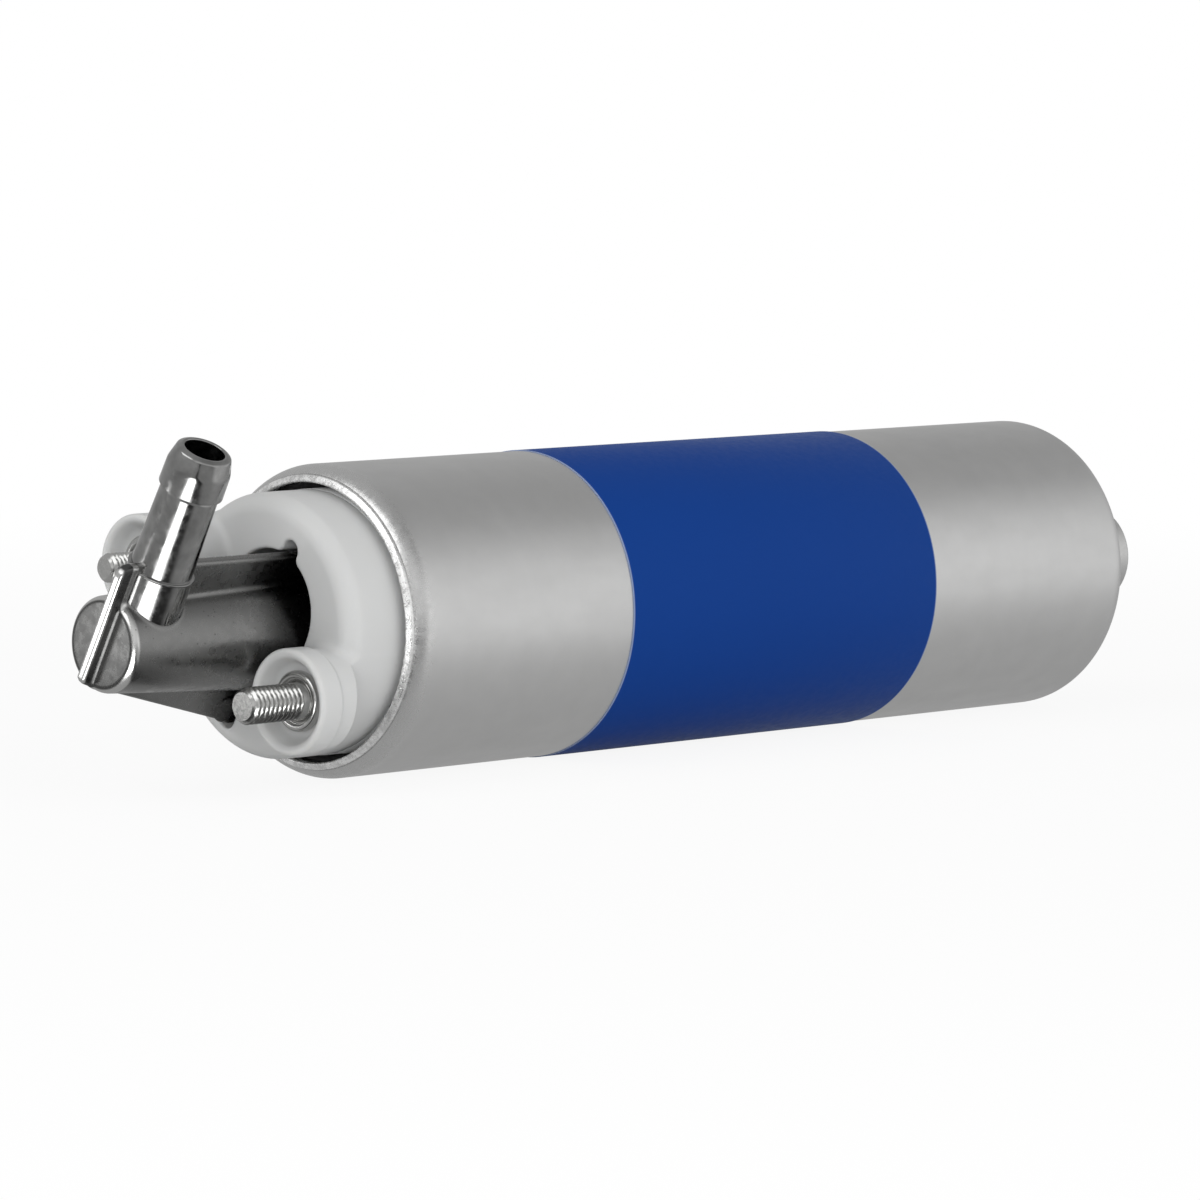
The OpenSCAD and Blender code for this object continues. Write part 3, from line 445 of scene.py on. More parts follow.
def once(make):
    """A finish that is made when it is first asked for, and kept by what it was asked for with."""
    def finish(asked):
        key = (make.__name__, asked if isinstance(asked, str) else "")
        if key not in FINISHES:
            FINISHES[key] = make(asked).material
        return FINISHES[key]
    return finish


@once
def tube_finish(settings):
    """Satin drawn aluminium, with the burnished and lightly hammered roll at its front."""
    coat = coated("satin_aluminium", settings.colours.tube, 1.0, drift=0.1, smooth=0.36, rough=0.44,
                  scale=260.0, height=3.2e-6, stretch=(0.35, 1.0, 1.0), drift_scale=240.0)
    lip, roll = settings.tube.lip_x, settings.tube.roll
    worked_from, worked_to, ring_from, ring_to = roll * 0.7, roll * 1.75, 0.75 * MM, 0.95 * MM
    marks_low, marks_high, polished, roll_rough, ring_rough = 0.35, 0.65, 0.16, 0.4, 0.42
    roll_depth, ring_extra_depth = 5e-5, 4e-5
    x = coat.along()
    near = coat.ramp(x, lip + worked_from, lip + worked_to, 1.0, 0.0)
    ring = coat.ramp(x, lip + ring_from, lip + ring_to, 1.0, 0.0)
    marks = coat.noise(coat.place(), 1100.0, 6.0, 0.7)
    worked = coat.ramp(marks, marks_low, marks_high, polished, roll_rough)
    ringed = coat.ramp(marks, marks_low, marks_high, polished, ring_rough)
    rough = coat.mix(ring, coat.mix(near, coat.fed("Roughness"), worked), ringed)
    depth = coat.math("MULTIPLY_ADD", ring, ring_extra_depth, roll_depth)
    hammered = coat.bump(coat.times(marks, near, depth), Normal=coat.fed("Normal"))
    mottled = coat.ramp(marks, 0.38, 0.6, 0.2, 0.65)
    level = coat.math("MULTIPLY_ADD", ring, mottled, 1.0)
    lit = coat.vector("SCALE", coat.fed("Base Color"), Scale=level)
    coat.feed(Roughness=rough, Normal=hammered, Base_Color=lit)
    return coat


@once
def band_finish(settings):
    """Matte blue film with the faint ripple of a wrapped foil and a pale cut edge."""
    coat = coated("blue_film", settings.colours.band, 0.0, drift=0.05, smooth=0.4, rough=0.48,
                  height=1.2e-6, specular=0.03)
    coat.set(Sheen_Weight=0.06, Sheen_Roughness=0.35, Sheen_Tint=(0.25, 0.5, 1.0, 1.0))
    half, edge_from, edge_to, edge_share = settings.tube.band_half, 0.3 * MM, 0.08 * MM, 0.75
    off = coat.math("ABSOLUTE", coat.along())
    rim = coat.ramp(off, half - edge_from, half - edge_to, 0.0, edge_share)
    inputs = {0: rim, 6: coat.fed("Base Color"), 7: (*settings.colours.film_edge, 1.0)}
    coat.feed(Base_Color=add(coat.tree, "ShaderNodeMix", inputs, data_type="RGBA").outputs[2])
    return coat


@once
def cap_finish(settings):
    """White moulded plastic that lets a little light in."""
    coat = coated("white_plastic", settings.colours.cap, 0.0, drift=0.03, smooth=0.4, rough=0.5,
                  scale=1500.0, height=1.5e-6, specular=0.4)
    coat.set(Subsurface_Weight=0.35, Subsurface_Scale=0.0012, Subsurface_Radius=(1.0, 0.95, 0.85))
    return coat


@once
def casting_finish(settings):
    """Dark die-cast metal: a fine skin with few pits, flow lines on its end, a rubbed fin edge and end rim
    whose colour is raised as a painted highlight, and painted shade that darkens it towards the cap's recess.
    """
    coat = coated("dark_casting", settings.colours.casting, 1.0, drift=0.3, smooth=0.22, rough=0.36,
                  scale=800.0, height=2.4e-6)
    fitting = settings.fitting
    fin_x, end_x = fitting.barrel_x - fitting.fin, fitting.barrel_x
    flow_depth, still_share, disc_level, pit_level = 1.2e-5, 0.75, 0.42, 0.4
    # Painted highlight: the rubbed fin edge and end rim get their colour raised 1.8 times, besides a lower
    # roughness
    rubbed_rough, glint_gain = 0.24, 1.8
    fin_span, face_span, rim_in, rim_out = (0.2, 0.65), (0.02, 0.2), (0.02, 0.12), (0.75, 1.15)
    # Painted shade: the casting's colour falls from full at x -91 mm to 0.2 at -82.5 mm, darkening it towards
    # the cap's recess
    shade_start_x, shade_full_x, recess_shade_level = -91.0 * MM, -82.5 * MM, 0.2
    x = coat.along()

    def behind_face(face, span, *levels):
        return coat.ramp(x, *[face + distance * MM for distance in span], *levels)

    pits = group(coat.tree, pits_group)
    drawn_out = add(coat.tree, "ShaderNodeMapping", {
        "Vector": coat.place(), "Rotation": (-fitting.tilt, 0.0, 0.0), "Scale": (1.0, 1.0, 0.1)})
    lines = coat.noise(drawn_out.outputs[0], 1500.0, 4.0, 0.6)
    at_end = behind_face(end_x, face_span, 1.0, 0.0)
    height = coat.plus(pits["Height"], coat.times(lines, at_end, flow_depth))
    fin_edge = behind_face(fin_x, fin_span, 1.0, 0.0)
    rim = coat.times(behind_face(end_x, rim_in), behind_face(end_x, rim_out, 1.0, 0.0))
    # The rubbed fin edge and end rim: smoother in roughness (real polish) and brighter in colour (painted
    # highlight)
    rubbed_and_glint = coat.math("MAXIMUM", fin_edge, rim)
    still = coat.less(1.0, coat.times(coat.math("MAXIMUM", rubbed_and_glint, at_end), still_share))
    skin = coat.bump(coat.times(height, still), Normal=coat.fed("Normal"))
    # Painted shade towards the cap's recess
    recess_shade_mask = coat.ramp(x, shade_start_x, shade_full_x, 1.0, recess_shade_level)
    disc = coat.times(at_end, coat.less(1.0, fin_edge))
    # Colour level: painted highlight on the rubbed edges, painted shade towards the recess, and a darker end
    # disc
    painted_light_and_disc_level = coat.times(coat.math("MULTIPLY_ADD", rubbed_and_glint, glint_gain, 1.0), recess_shade_mask,
                        coat.ramp(disc, 0.0, 1.0, 1.0, disc_level))
    dark = coat.ramp(pits["Pits"], 0.0, 1.0, 1.0, pit_level)
    lit = coat.vector("SCALE", coat.fed("Base Color"), Scale=coat.times(painted_light_and_disc_level, dark))
    coat.feed(Normal=skin, Base_Color=lit, Roughness=coat.mix(rubbed_and_glint, coat.fed("Roughness"), rubbed_rough))
    return coat


@once
def nipple_finish(settings):
    """Turned metal, nearly polished."""
    return coated("turned_metal", settings.colours.nipple, 1.0, drift=0.9, smooth=0.09, rough=0.24,
                  scale=700.0, height=2.6e-6, drift_scale=420.0)


@once
def stud_finish(settings):
    """Bright zinc plate."""
    return coated("zinc_plate", settings.colours.stud, 1.0, drift=0.12, smooth=0.16, rough=0.27,
                  scale=1600.0, height=2e-6)


# What each finish of the inner pieces is: colour, metal, smooth, rough
INNER_FINISHES = {
    "black_rubber": ((0.012, 0.012, 0.012), 0.0, 0.55, 0.7),
    "spring_steel": ((0.55, 0.55, 0.56), 1.0, 0.2, 0.32),
    "ground_steel": ((0.5, 0.51, 0.53), 1.0, 0.12, 0.25),
    "black_steel": ((0.06, 0.062, 0.065), 1.0, 0.3, 0.45),
    "brass": ((0.6, 0.42, 0.16), 1.0, 0.2, 0.35),
    "bronze": ((0.42, 0.24, 0.1), 1.0, 0.35, 0.5),
    "copper": ((0.5, 0.16, 0.06), 1.0, 0.25, 0.4),
    "bar_copper": ((0.6, 0.25, 0.12), 1.0, 0.2, 0.35),
    "black_plastic": ((0.014, 0.014, 0.014), 0.0, 0.4, 0.55),
    "phenolic": ((0.045, 0.025, 0.014), 0.0, 0.45, 0.6),
    "cream_plastic": ((0.6, 0.56, 0.42), 0.0, 0.4, 0.55),
    "carbon": ((0.02, 0.02, 0.022), 0.0, 0.45, 0.65),
    "ferrite": ((0.035, 0.035, 0.038), 0.0, 0.4, 0.6),
    "core_iron": ((0.2, 0.2, 0.21), 1.0, 0.35, 0.5),
    "cast_alloy": ((0.58, 0.58, 0.575), 1.0, 0.35, 0.48),
}


@once
def inner_finish(slot):
    """The finish of an inner piece, by its material slot."""
    tint, metal, smooth, rough = INNER_FINISHES[slot]
    return coated(slot, tint, metal, smooth=smooth, rough=rough)


# Meshes
def plain_mesh(name, points, faces):
    mesh = bpy.data.meshes.new(name)
    mesh.from_pydata(points, [], faces)
    return mesh


def piece(name, points, faces, material, slot, nodes=(), sharp=40.0):
    """A finished piece from its points and faces."""
    mesh = plain_mesh(name, points, faces)
    mesh.validate()
    return finished(name, mesh, material, nodes, sharp)


def finished(name, mesh, material, nodes=(), sharp=40.0):
    """A piece on the pump's body: its normals and finish, and the frame nodes that it stands for."""
    mesh.polygons.foreach_set("use_smooth", [True] * len(mesh.polygons))
    if sharp:
        mesh.set_sharp_from_angle(angle=math.radians(sharp))
    mesh.materials.clear()
    mesh.materials.append(material)
    made = placed(name, mesh)
    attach(made, "pump")
    if nodes:
        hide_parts(*nodes)
    return made


def filleted(corners, steps=6):
    """A closed outline of (x, radius) points from corners (x, radius, fillet)."""
    outline, most = [], 0.49
    for i, (x, r, fillet) in enumerate(corners):
        here = Vector((x, r))
        back = Vector(corners[i - 1][:2]) - here
        ahead = Vector(corners[(i + 1) % len(corners)][:2]) - here
        if fillet <= 0 or r <= 0:
            outline.append((x, r))
            continue
        half = back.angle(ahead) / 2
        cut = min(fillet / math.tan(half), back.length * most, ahead.length * most)
        centre = here + (back.normalized() + ahead.normalized()).normalized() * cut / math.cos(half)
        start, end = here + back.normalized() * cut - centre, here + ahead.normalized() * cut - centre
        turn = math.atan2(start.cross(end), start.dot(end))
        for k in range(steps + 1):
            a = turn * k / steps
            outline.append((centre.x + start.x * math.cos(a) - start.y * math.sin(a),
                            centre.y + start.x * math.sin(a) + start.y * math.cos(a)))
    return outline


def arc(x, r, radius, start, end, steps=14):
    """Points (x, radius, 0) on an arc; 0 degrees is outward and 90 is towards +X."""
    return [(x + radius * math.sin(math.radians(start + (end - start) * k / steps)),
             r + radius * math.cos(math.radians(start + (end - start) * k / steps)), 0.0)
            for k in range(steps + 1)]


def turned(outline, sides=224):
    """Points and outward faces of a closed outline (x, radius) turned round the X axis."""
    points, rings = [], []
    for x, r in outline:
        count = 1 if r < 1e-7 else sides
        rings.append((len(points), count))
        for k in range(count):
            a = 2 * math.pi * k / sides
            points.append((x, r * math.cos(a), r * math.sin(a)))
    faces = []
    for (a, na), (b, nb) in zip(rings, rings[1:] + rings[:1]):
        if na == 1 and nb == 1:
            continue
        for k in range(sides):
            j = (k + 1) % sides
            if na == 1:
                faces.append((a, b + j, b + k))
            elif nb == 1:
                faces.append((a + k, a + j, b))
            else:
                faces.append((a + k, a + j, b + j, b + k))
    return points, outward(points, faces)


def signed_volume(points, faces):
    """Six times the volume that the faces close: above 0 where they point outwards."""
    p = np.asarray(points, float)
    total = 0.0
    for count in (3, 4):
        f = np.array([x for x in faces if len(x) == count])
        for k in range(1, count - 1) if len(f) else ():
            total += np.einsum("ij,ij->i", p[f[:, 0]], np.cross(p[f[:, k]], p[f[:, k + 1]])).sum()
    return total


def outward(points, faces):
    """The same faces, turned over if they point inwards."""
    if signed_volume(points, faces) < 0:
        faces = [tuple(reversed(f)) for f in faces]
    return faces


def moved(points, matrix):
    rotation = np.array(matrix.to_3x3())
    return np.asarray(points, float) @ rotation.T + np.array(matrix.translation)


# Solid fields: each gives the signed distance to a form, below 0 inside it
def round_join(a, b, radius):
    """Two forms as one, with a concave fillet between them."""
    u, v = np.maximum(radius - a, 0), np.maximum(radius - b, 0)
    return np.maximum(radius, np.minimum(a, b)) - np.sqrt(u * u + v * v)


def round_cut(a, b, radius):
    """What two forms share, with a rounded edge."""
    u, v = np.maximum(radius + a, 0), np.maximum(radius + b, 0)
    return np.minimum(-radius, np.maximum(a, b)) + np.sqrt(u * u + v * v)


def rod_form(along, radial, start, end, radius, front=0.0, back=0.0):
    """A rod with rounded end edges."""
    side = radial - radius
    form = round_cut(side, start - along, front)
    return round_cut(form, along - end, back)


def cone_form(along, radial, start, end, start_radius, end_radius):
    """An endless cone's side, from one radius to the next between two places."""
    slope = (end_radius - start_radius) / (end - start)
    reach = np.clip(along, min(start, end), max(start, end)) - start
    return (radial - start_radius - slope * reach) / math.sqrt(1 + slope * slope)


def outline_form(x, z, corners):
    """A flat outline."""
    distance, inside = None, None
    for (ax, az), (bx, bz) in zip(corners, corners[1:] + corners[:1]):
        ex, ez = bx - ax, bz - az
        t = np.clip(((x - ax) * ex + (z - az) * ez) / (ex * ex + ez * ez), 0, 1)
        d = (x - ax - ex * t) ** 2 + (z - az - ez * t) ** 2
        crossed = (az > z) != (bz > z)
        if abs(ez) > 1e-12:
            crossed = crossed & (x < ex * (z - az) / ez + ax)
        distance = d if distance is None else np.minimum(distance, d)
        inside = crossed if inside is None else inside ^ crossed
    return np.sqrt(distance) * np.where(inside, -1.0, 1.0)


def moulded(form, low, high, step):
    """Points and faces of a form's surface. A grid finds it, then each point is set on the exact surface."""
    rounds, feel, stride, stray, least_slope = 3, step * 0.2, step * 0.3, step * 0.45, 0.5
    axes = [np.arange(a, b + step, step) for a, b in zip(low, high)]
    x, y, z = axes[0][:, None, None], axes[1][None, :, None], axes[2][None, None, :]
    reach = 3 * step
    values = np.clip(form(x, y, z), -reach, reach)
    values = np.array(np.broadcast_to(values, [len(a) for a in axes]), np.float32)
    grid = openvdb.FloatGrid(reach)
    grid.gridClass = openvdb.GridClass.LEVEL_SET
    grid.copyFromArray(values)
    points, quads = grid.convertToQuads(isovalue=0.0)
    p = points.astype(float) * step + np.array([a[0] for a in axes])
    found = p.copy()
    for _ in range(rounds):
        here = form(*p.T)
        slope = np.stack([form(*(p + d).T) - form(*(p - d).T) for d in np.eye(3) * feel], axis=1) / (2 * feel)
        length = np.maximum((slope ** 2).sum(axis=1), least_slope)
        p -= slope * np.clip(here / length, -stride, stride)[:, None]
        p = found + np.clip(p - found, -stray, stray)
    faces = [tuple(int(i) for i in q) for q in quads]
    return p, outward(p, faces)


def tube_outline(s):
    """The tube's section: outer face from lip to rear, then the inner face back."""
    roll_x = s.lip_x + s.bevel + s.roll * math.sin(s.roll_angle)
    rear_x = s.rear_x - s.rear_roll
    inner = s.radius - s.wall
    inner_roll = s.rear_roll - s.rear_wall
    inner_x = s.rear_x - s.rear_wall - inner_roll
    flange_x = s.lip_x + 1.45 * MM
    front = arc(roll_x, s.radius - s.roll, s.roll, -math.degrees(s.roll_angle), 0.0)
    crease_x, crease_r, _ = front[0]
    lip_edge, ring_drop, ring_edge, crease, crease_edge, hole_edge = (
        v * MM for v in (0.22, 0.12, 0.16, 0.06, 0.04, 0.15))
    lip = [(s.lip_x, s.lip_radius, lip_edge), (crease_x - s.ring_rise, crease_r - ring_drop, ring_edge),
           (crease_x + crease, crease_r - crease, crease_edge)]
    rear = arc(rear_x, s.radius - s.rear_roll, s.rear_roll, 0.0, 90.0)
    hole = [(s.rear_x, s.rear_hole, hole_edge), (s.rear_x - s.rear_wall, s.rear_hole, hole_edge)]
    inside = arc(inner_x, inner - inner_roll, inner_roll, 90.0, 0.0)
    flange = [(flange_x + inner - s.lip_radius, inner, 0.3 * MM), (flange_x, s.lip_radius, 0.2 * MM)]
    return filleted(lip + front + rear + hole + inside + flange, 5)


def cap_form(s, drop, tilt):
    """The cap in front of its plate: a dished front, two bosses, and a recess with two slots."""
    boss_y, boss_z = s.stud_at * math.cos(s.stud_angle), s.stud_at * math.sin(s.stud_angle)
    ct, st = math.cos(tilt), math.sin(tilt)
    slope = s.dish / (s.radius - s.edge - s.recess)
    lean = 1 / math.sqrt(1 + slope * slope)
    end_x, over_x = s.plate_x + 0.3 * MM, s.crest_x + 0.4 * MM
    flare, stand_out, stud_gap = 4.0, 0.1 * MM, 0.05 * MM
    face_edge, head_edge, corner_edge = 0.55 * MM, 0.3 * MM, 0.2 * MM
    well_join, well_edge, floor_edge, funnel_edge = 0.9 * MM, 0.4 * MM, 0.9 * MM, 0.6 * MM

    def radial_at(y, z, side):
        return np.sqrt((y - side * boss_y) ** 2 + (z + s.stud_drop - side * boss_z) ** 2)

    def boss(x, radial, radius, rise, head, foot):
        face = s.crest_x - rise
        form = rod_form(x, radial, face, face + head, radius, face_edge, head_edge)
        return round_join(form, rod_form(x, radial, face + head / 2, end_x, foot), head_edge)

    def form(x, y, z):
        radial = np.sqrt(y * y + z * z)
        front = (s.crest_x + slope * (s.radius - s.edge - radial) - x) * lean
        front = np.maximum(front, s.crest_x - x)
        body = np.maximum(round_cut(front, radial - s.radius, s.edge), x - end_x)
        at_large, at_small = radial_at(y, z, -1), radial_at(y, z, 1)
        large = boss(x, at_large, s.large_boss, s.large_rise, s.large_head, s.large_foot)
        small = boss(x, at_small, s.small_boss, s.small_rise, s.small_rise, s.small_boss)
        across = y * ct + (z + drop) * st
        along = -y * st + (z + drop) * ct
        beyond = along - np.clip(along, -s.recess_reach, s.recess_reach)
        well = np.sqrt(across * across + beyond * beyond) - s.recess
        half = s.slot / 2
        beyond = along - np.clip(along, half - s.slot_down, s.slot_up - half)
        slots = np.sqrt(across * across + beyond * beyond) - half
        body = round_cut(body, -round_join(well, slots, well_join), well_edge)
        wide = radial - s.radius - stand_out
        overhang = np.minimum(wide, (wide - flare * (over_x - x)) / math.hypot(1, flare))
        for each in (large, small):
            body = round_cut(round_join(body, each, s.fillet), overhang, corner_edge)
        for radial_here, rise in ((at_large, s.large_rise), (at_small, s.small_rise)):
            face = s.crest_x - rise
            side = cone_form(x, radial_here, face, face + s.bore_depth, s.bore, s.bore_floor)
            funnel = round_cut(side, x - face - s.bore_depth, floor_edge)
            body = round_cut(body, -funnel, funnel_edge)
            body = np.maximum(body, -(radial_here - s.shank - stud_gap))
        return body

    return form


def casting_form(s):
    """The fitting's casting, with X along the tube and Z along the nipple."""
    fin_x = s.barrel_x - s.fin
    low_x, crest_x, rear_x = -84.6 * MM, -82.5 * MM, -73.9 * MM
    diagonal = s.fin * math.sqrt(0.5)
    corners = [(fin_x, s.web_top - s.fin), (fin_x, -s.fin_low), (fin_x + 0.4 * MM, -s.fin_low - 0.5 * MM),
               (fin_x + 1.2 * MM, -s.fin_low - 0.8 * MM), (low_x, -s.web_low + 0.8 * MM),
               (crest_x, -s.web_low), (rear_x, -s.web_low), (rear_x, s.web_top), (s.barrel_x, s.web_top),
               (s.barrel_x - s.fin * 0.38, s.web_top - s.fin * 0.08),
               (s.barrel_x - diagonal, s.web_top - s.fin + diagonal),
               (s.barrel_x - s.fin * 0.92, s.web_top - s.fin * 0.62)]
    seat_x, end_x, over = -80.4 * MM, -96.0 * MM, 5 * MM
    rear_edge, web_edge, root_edge, root_join, web_join = (v * MM for v in (0.3, 0.42, 0.12, 0.45, 0.6))
    mark_x, mark_z, mark_radius, mark_height, mark_edge = (v * MM for v in (-84.0, -11.8, 2.0, 0.25, 0.08))
    port, passage, drilling, drill_end = 4.55 * MM, 4.0 * MM, 2.6 * MM, -1.5 * MM

    def form(x, y, z):
        radial = np.sqrt(y * y + z * z)
        side = cone_form(x, radial, crest_x, s.barrel_x, s.barrel, s.barrel_tip)
        barrel = round_cut(round_cut(side, s.barrel_x - x, s.barrel_edge), x - s.barrel_rear, rear_edge)
        web = round_cut(np.abs(y) - s.web / 2, outline_form(x, z, corners), web_edge)
        upright = np.sqrt((x - s.nipple_x) ** 2 + y * y)
        root = rod_form(z, upright, 0.0, s.step - 0.2 * MM, s.root + s.step_width - 0.06 * MM, 0.0, root_edge)
        body = round_join(round_join(barrel, root, root_join), web, web_join)
        from_mark = np.sqrt((x - mark_x) ** 2 + (z - mark_z) ** 2)
        mark = rod_form(-y, from_mark, 0.0, s.web / 2 + mark_height, mark_radius, 0.0, mark_edge)
        body = np.minimum(body, mark)
        for start, end, radius in ((seat_x, s.barrel_rear + over, port), (end_x, seat_x + MM, passage),
                                   (s.nipple_x, end_x + MM, drilling)):
            body = np.maximum(body, -rod_form(x, radial, start, end, radius))
        return np.maximum(body, -rod_form(z, upright, drill_end, s.length + MM, s.bore))

    return form


# Geometry Nodes: a screw thread
def thread_tree():
    """A closed rod with a thread: a grid's rows are rolled round X, and their radius follows the thread."""
    tree = bpy.data.node_groups.new("stud_thread", "GeometryNodeTree")
    sockets(tree, "INPUT", Geometry=("Geometry", None), Radius=0.0025, Depth=0.0005, Pitch=0.0008, Start=0.0,
            End=0.01, Chamfer=0.0006, Rows=("Int", 160), Sides=("Int", 96), Finish=("Material", None))
    sockets(tree, "OUTPUT", Geometry=("Geometry", None))
    wire, ins, out = Wiring(tree), add(tree, "NodeGroupInput").outputs, add(tree, "NodeGroupOutput")
    steepness, crest_share, run_out = 1.35, -0.15, 0.9
    grid = add(tree, "GeometryNodeMeshGrid", {
        "Size X": 1.0, "Size Y": 1.0, "Vertices X": wire.plus(ins["Sides"], 1.0), "Vertices Y": ins["Rows"]})
    place = add(tree, "ShaderNodeSeparateXYZ", {0: add(tree, "GeometryNodeInputPosition").outputs[0]}).outputs
    share = wire.plus(place["X"], 0.5)
    last = wire.less(ins["Rows"], 1.0)
    row = wire.times(wire.plus(place["Y"], 0.5), last)
    step = wire.math("DIVIDE", wire.less(row, 1.0), wire.less(last, 2.0), clamp=True)
    length = wire.less(ins["End"], ins["Start"])
    along = wire.times(step, length)
    turns = wire.plus(wire.math("DIVIDE", along, ins["Pitch"]), share)
    wave = wire.math("ABSOLUTE", wire.math("MULTIPLY_ADD", wire.math("FRACT", turns), 2.0, -1.0))
    flank = wire.math("MULTIPLY_ADD", wave, steepness, crest_share, clamp=True)
    fade = wire.math("DIVIDE", wire.less(length, along), wire.times(ins["Pitch"], run_out), clamp=True)
    threaded = wire.less(ins["Radius"], wire.times(flank, ins["Depth"], fade))
    tip = wire.plus(wire.less(ins["Radius"], ins["Chamfer"]), along)
    between_ends = wire.times(wire.math("GREATER_THAN", row, 0.5),
                              wire.math("LESS_THAN", row, wire.less(last, 0.5)))
    radius = wire.times(wire.math("MINIMUM", threaded, tip), between_ends)
    turn = wire.times(share, 2 * math.pi)
    spot = add(tree, "ShaderNodeCombineXYZ", {
        0: wire.plus(ins["Start"], along), 1: wire.times(radius, wire.math("COSINE", turn)),
        2: wire.times(radius, wire.math("SINE", turn))})
    made = grid.outputs["Mesh"]
    for kind, inputs in (("SetPosition", {"Position": spot.outputs[0]}),
                         ("MergeByDistance", {"Distance": 1e-6}), ("RealizeInstances", {}),
                         ("SetMaterial", {"Material": ins["Finish"]})):
        made = add(tree, "GeometryNode" + kind, {"Geometry": made, **inputs}).outputs[0]
    tree.links.new(made, out.inputs[0])
    return tree


def placed(name, data):
    """A new object in the scene."""
    made = bpy.data.objects.new(name, data)
    bpy.context.scene.collection.objects.link(made)
    return made


def plain_result(holder):
    """The plain mesh that an object's modifiers make."""
    bpy.context.view_layer.update()
    shown = holder.evaluated_get(bpy.context.evaluated_depsgraph_get())
    return bpy.data.meshes.new_from_object(shown)


def grown(tree, **values):
    """The plain mesh that a geometry tree makes from named values."""
    holder = placed("maker", bpy.data.meshes.new("maker"))
    modifier = holder.modifiers.new("maker", "NODES")
    modifier.node_group = tree
    for item in tree.interface.items_tree:
        if item.in_out == "INPUT" and item.name in values:
            modifier[item.identifier] = values[item.name]
    mesh = plain_result(holder)
    bpy.data.objects.remove(holder)
    return mesh


def remeshed(name, work):
    """The mesh of a finished bmesh, with its faces pointing outwards."""
    bmesh.ops.recalc_face_normals(work, faces=work.faces)
    mesh = bpy.data.meshes.new(name)
    work.to_mesh(mesh)
    work.free()
    return mesh


def joined(name, *meshes):
    """One mesh from several."""
    work = bmesh.new()
    for mesh in meshes:
        work.from_mesh(mesh)
    bmesh.ops.remove_doubles(work, verts=work.verts, dist=1e-7)
    return remeshed(name, work)


def behind(name, mesh, x):
    """What of a closed mesh lies behind a place along X, closed again there."""
    work = bmesh.new()
    work.from_mesh(mesh)
    bmesh.ops.remove_doubles(work, verts=work.verts, dist=1e-6)
    cut = bmesh.ops.bisect_plane(work, geom=work.verts[:] + work.edges[:] + work.faces[:],
                                 plane_co=(x, 0, 0), plane_no=(-1, 0, 0), clear_outer=True)
    edges = [e for e in cut["geom_cut"] if isinstance(e, bmesh.types.BMEdge)]
    bmesh.ops.triangle_fill(work, edges=edges, use_beauty=True)
    return remeshed(name, work)


def grooved(mesh, cutter):
    """The mesh with a closed cutter taken out of it."""
    block, tool = placed("block", mesh), placed("tool", cutter)
    modifier = block.modifiers.new("groove", "BOOLEAN")
    modifier.operation, modifier.object, modifier.solver = "DIFFERENCE", tool, "EXACT"
    result = plain_result(block)
    for each in (block, tool):
        bpy.data.objects.remove(each)
    return result


# Operators, one for each piece or group of like pieces
class MakeTube(bpy.types.Operator):
    """Make the rolled tube and its coloured band"""
    bl_idname = "fuel_pump.make_tube"
    bl_label = "Tube and band"

    def execute(self, context):
        settings = context.scene.fuel_pump
        s = settings.tube
        sides, soft_edge, bedding = 320, 0.05 * MM, 0.02 * MM
        piece("tube", *turned(tube_outline(s), sides), tube_finish(settings), "aluminium_tube",
              ("housing_tube",), 50.0)
        inner = s.radius - bedding
        corners = [(-s.band_half, s.band_radius, soft_edge), (s.band_half, s.band_radius, soft_edge),
                   (s.band_half, inner, 0.0), (-s.band_half, inner, 0.0)]
        piece("blue_band", *turned(filleted(corners, 3), sides), band_finish(settings), "blue_film",
              ("band",), 50.0)
        return {"FINISHED"}


class MakeCap(bpy.types.Operator):
    """Make the moulded end cap: its front, and the plate inside the lip"""
    bl_idname = "fuel_pump.make_cap"
    bl_label = "End cap"

    def execute(self, context):
        settings = context.scene.fuel_pump
        s, material = settings.cap, cap_finish(settings)
        margin = 1.5 * MM
        reach = s.stud_at + s.large_boss + margin
        low = (s.crest_x - s.small_rise - margin, -reach, -s.radius - margin)
        high = (s.plate_x + margin, reach, s.radius + margin)
        form = cap_form(s, settings.fitting.drop, settings.fitting.tilt)
        piece("cap_front", *moulded(form, low, high, s.grid), material, "white_plastic", ("end_cap",), 0)
        plate = behind("cap_plate", frame["nodes"]["end_cap"].data, s.plate_x)
        front, floor = s.plate_x - MM, s.plate_x + s.groove_depth
        ring = [(front, s.groove_low), (front, s.groove_high), (floor, s.groove_high), (floor, s.groove_low)]
        plate = grooved(plate, plain_mesh("groove", *turned(ring, 128)))
        finished("cap_plate", plate, material, sharp=35.0)
        return {"FINISHED"}


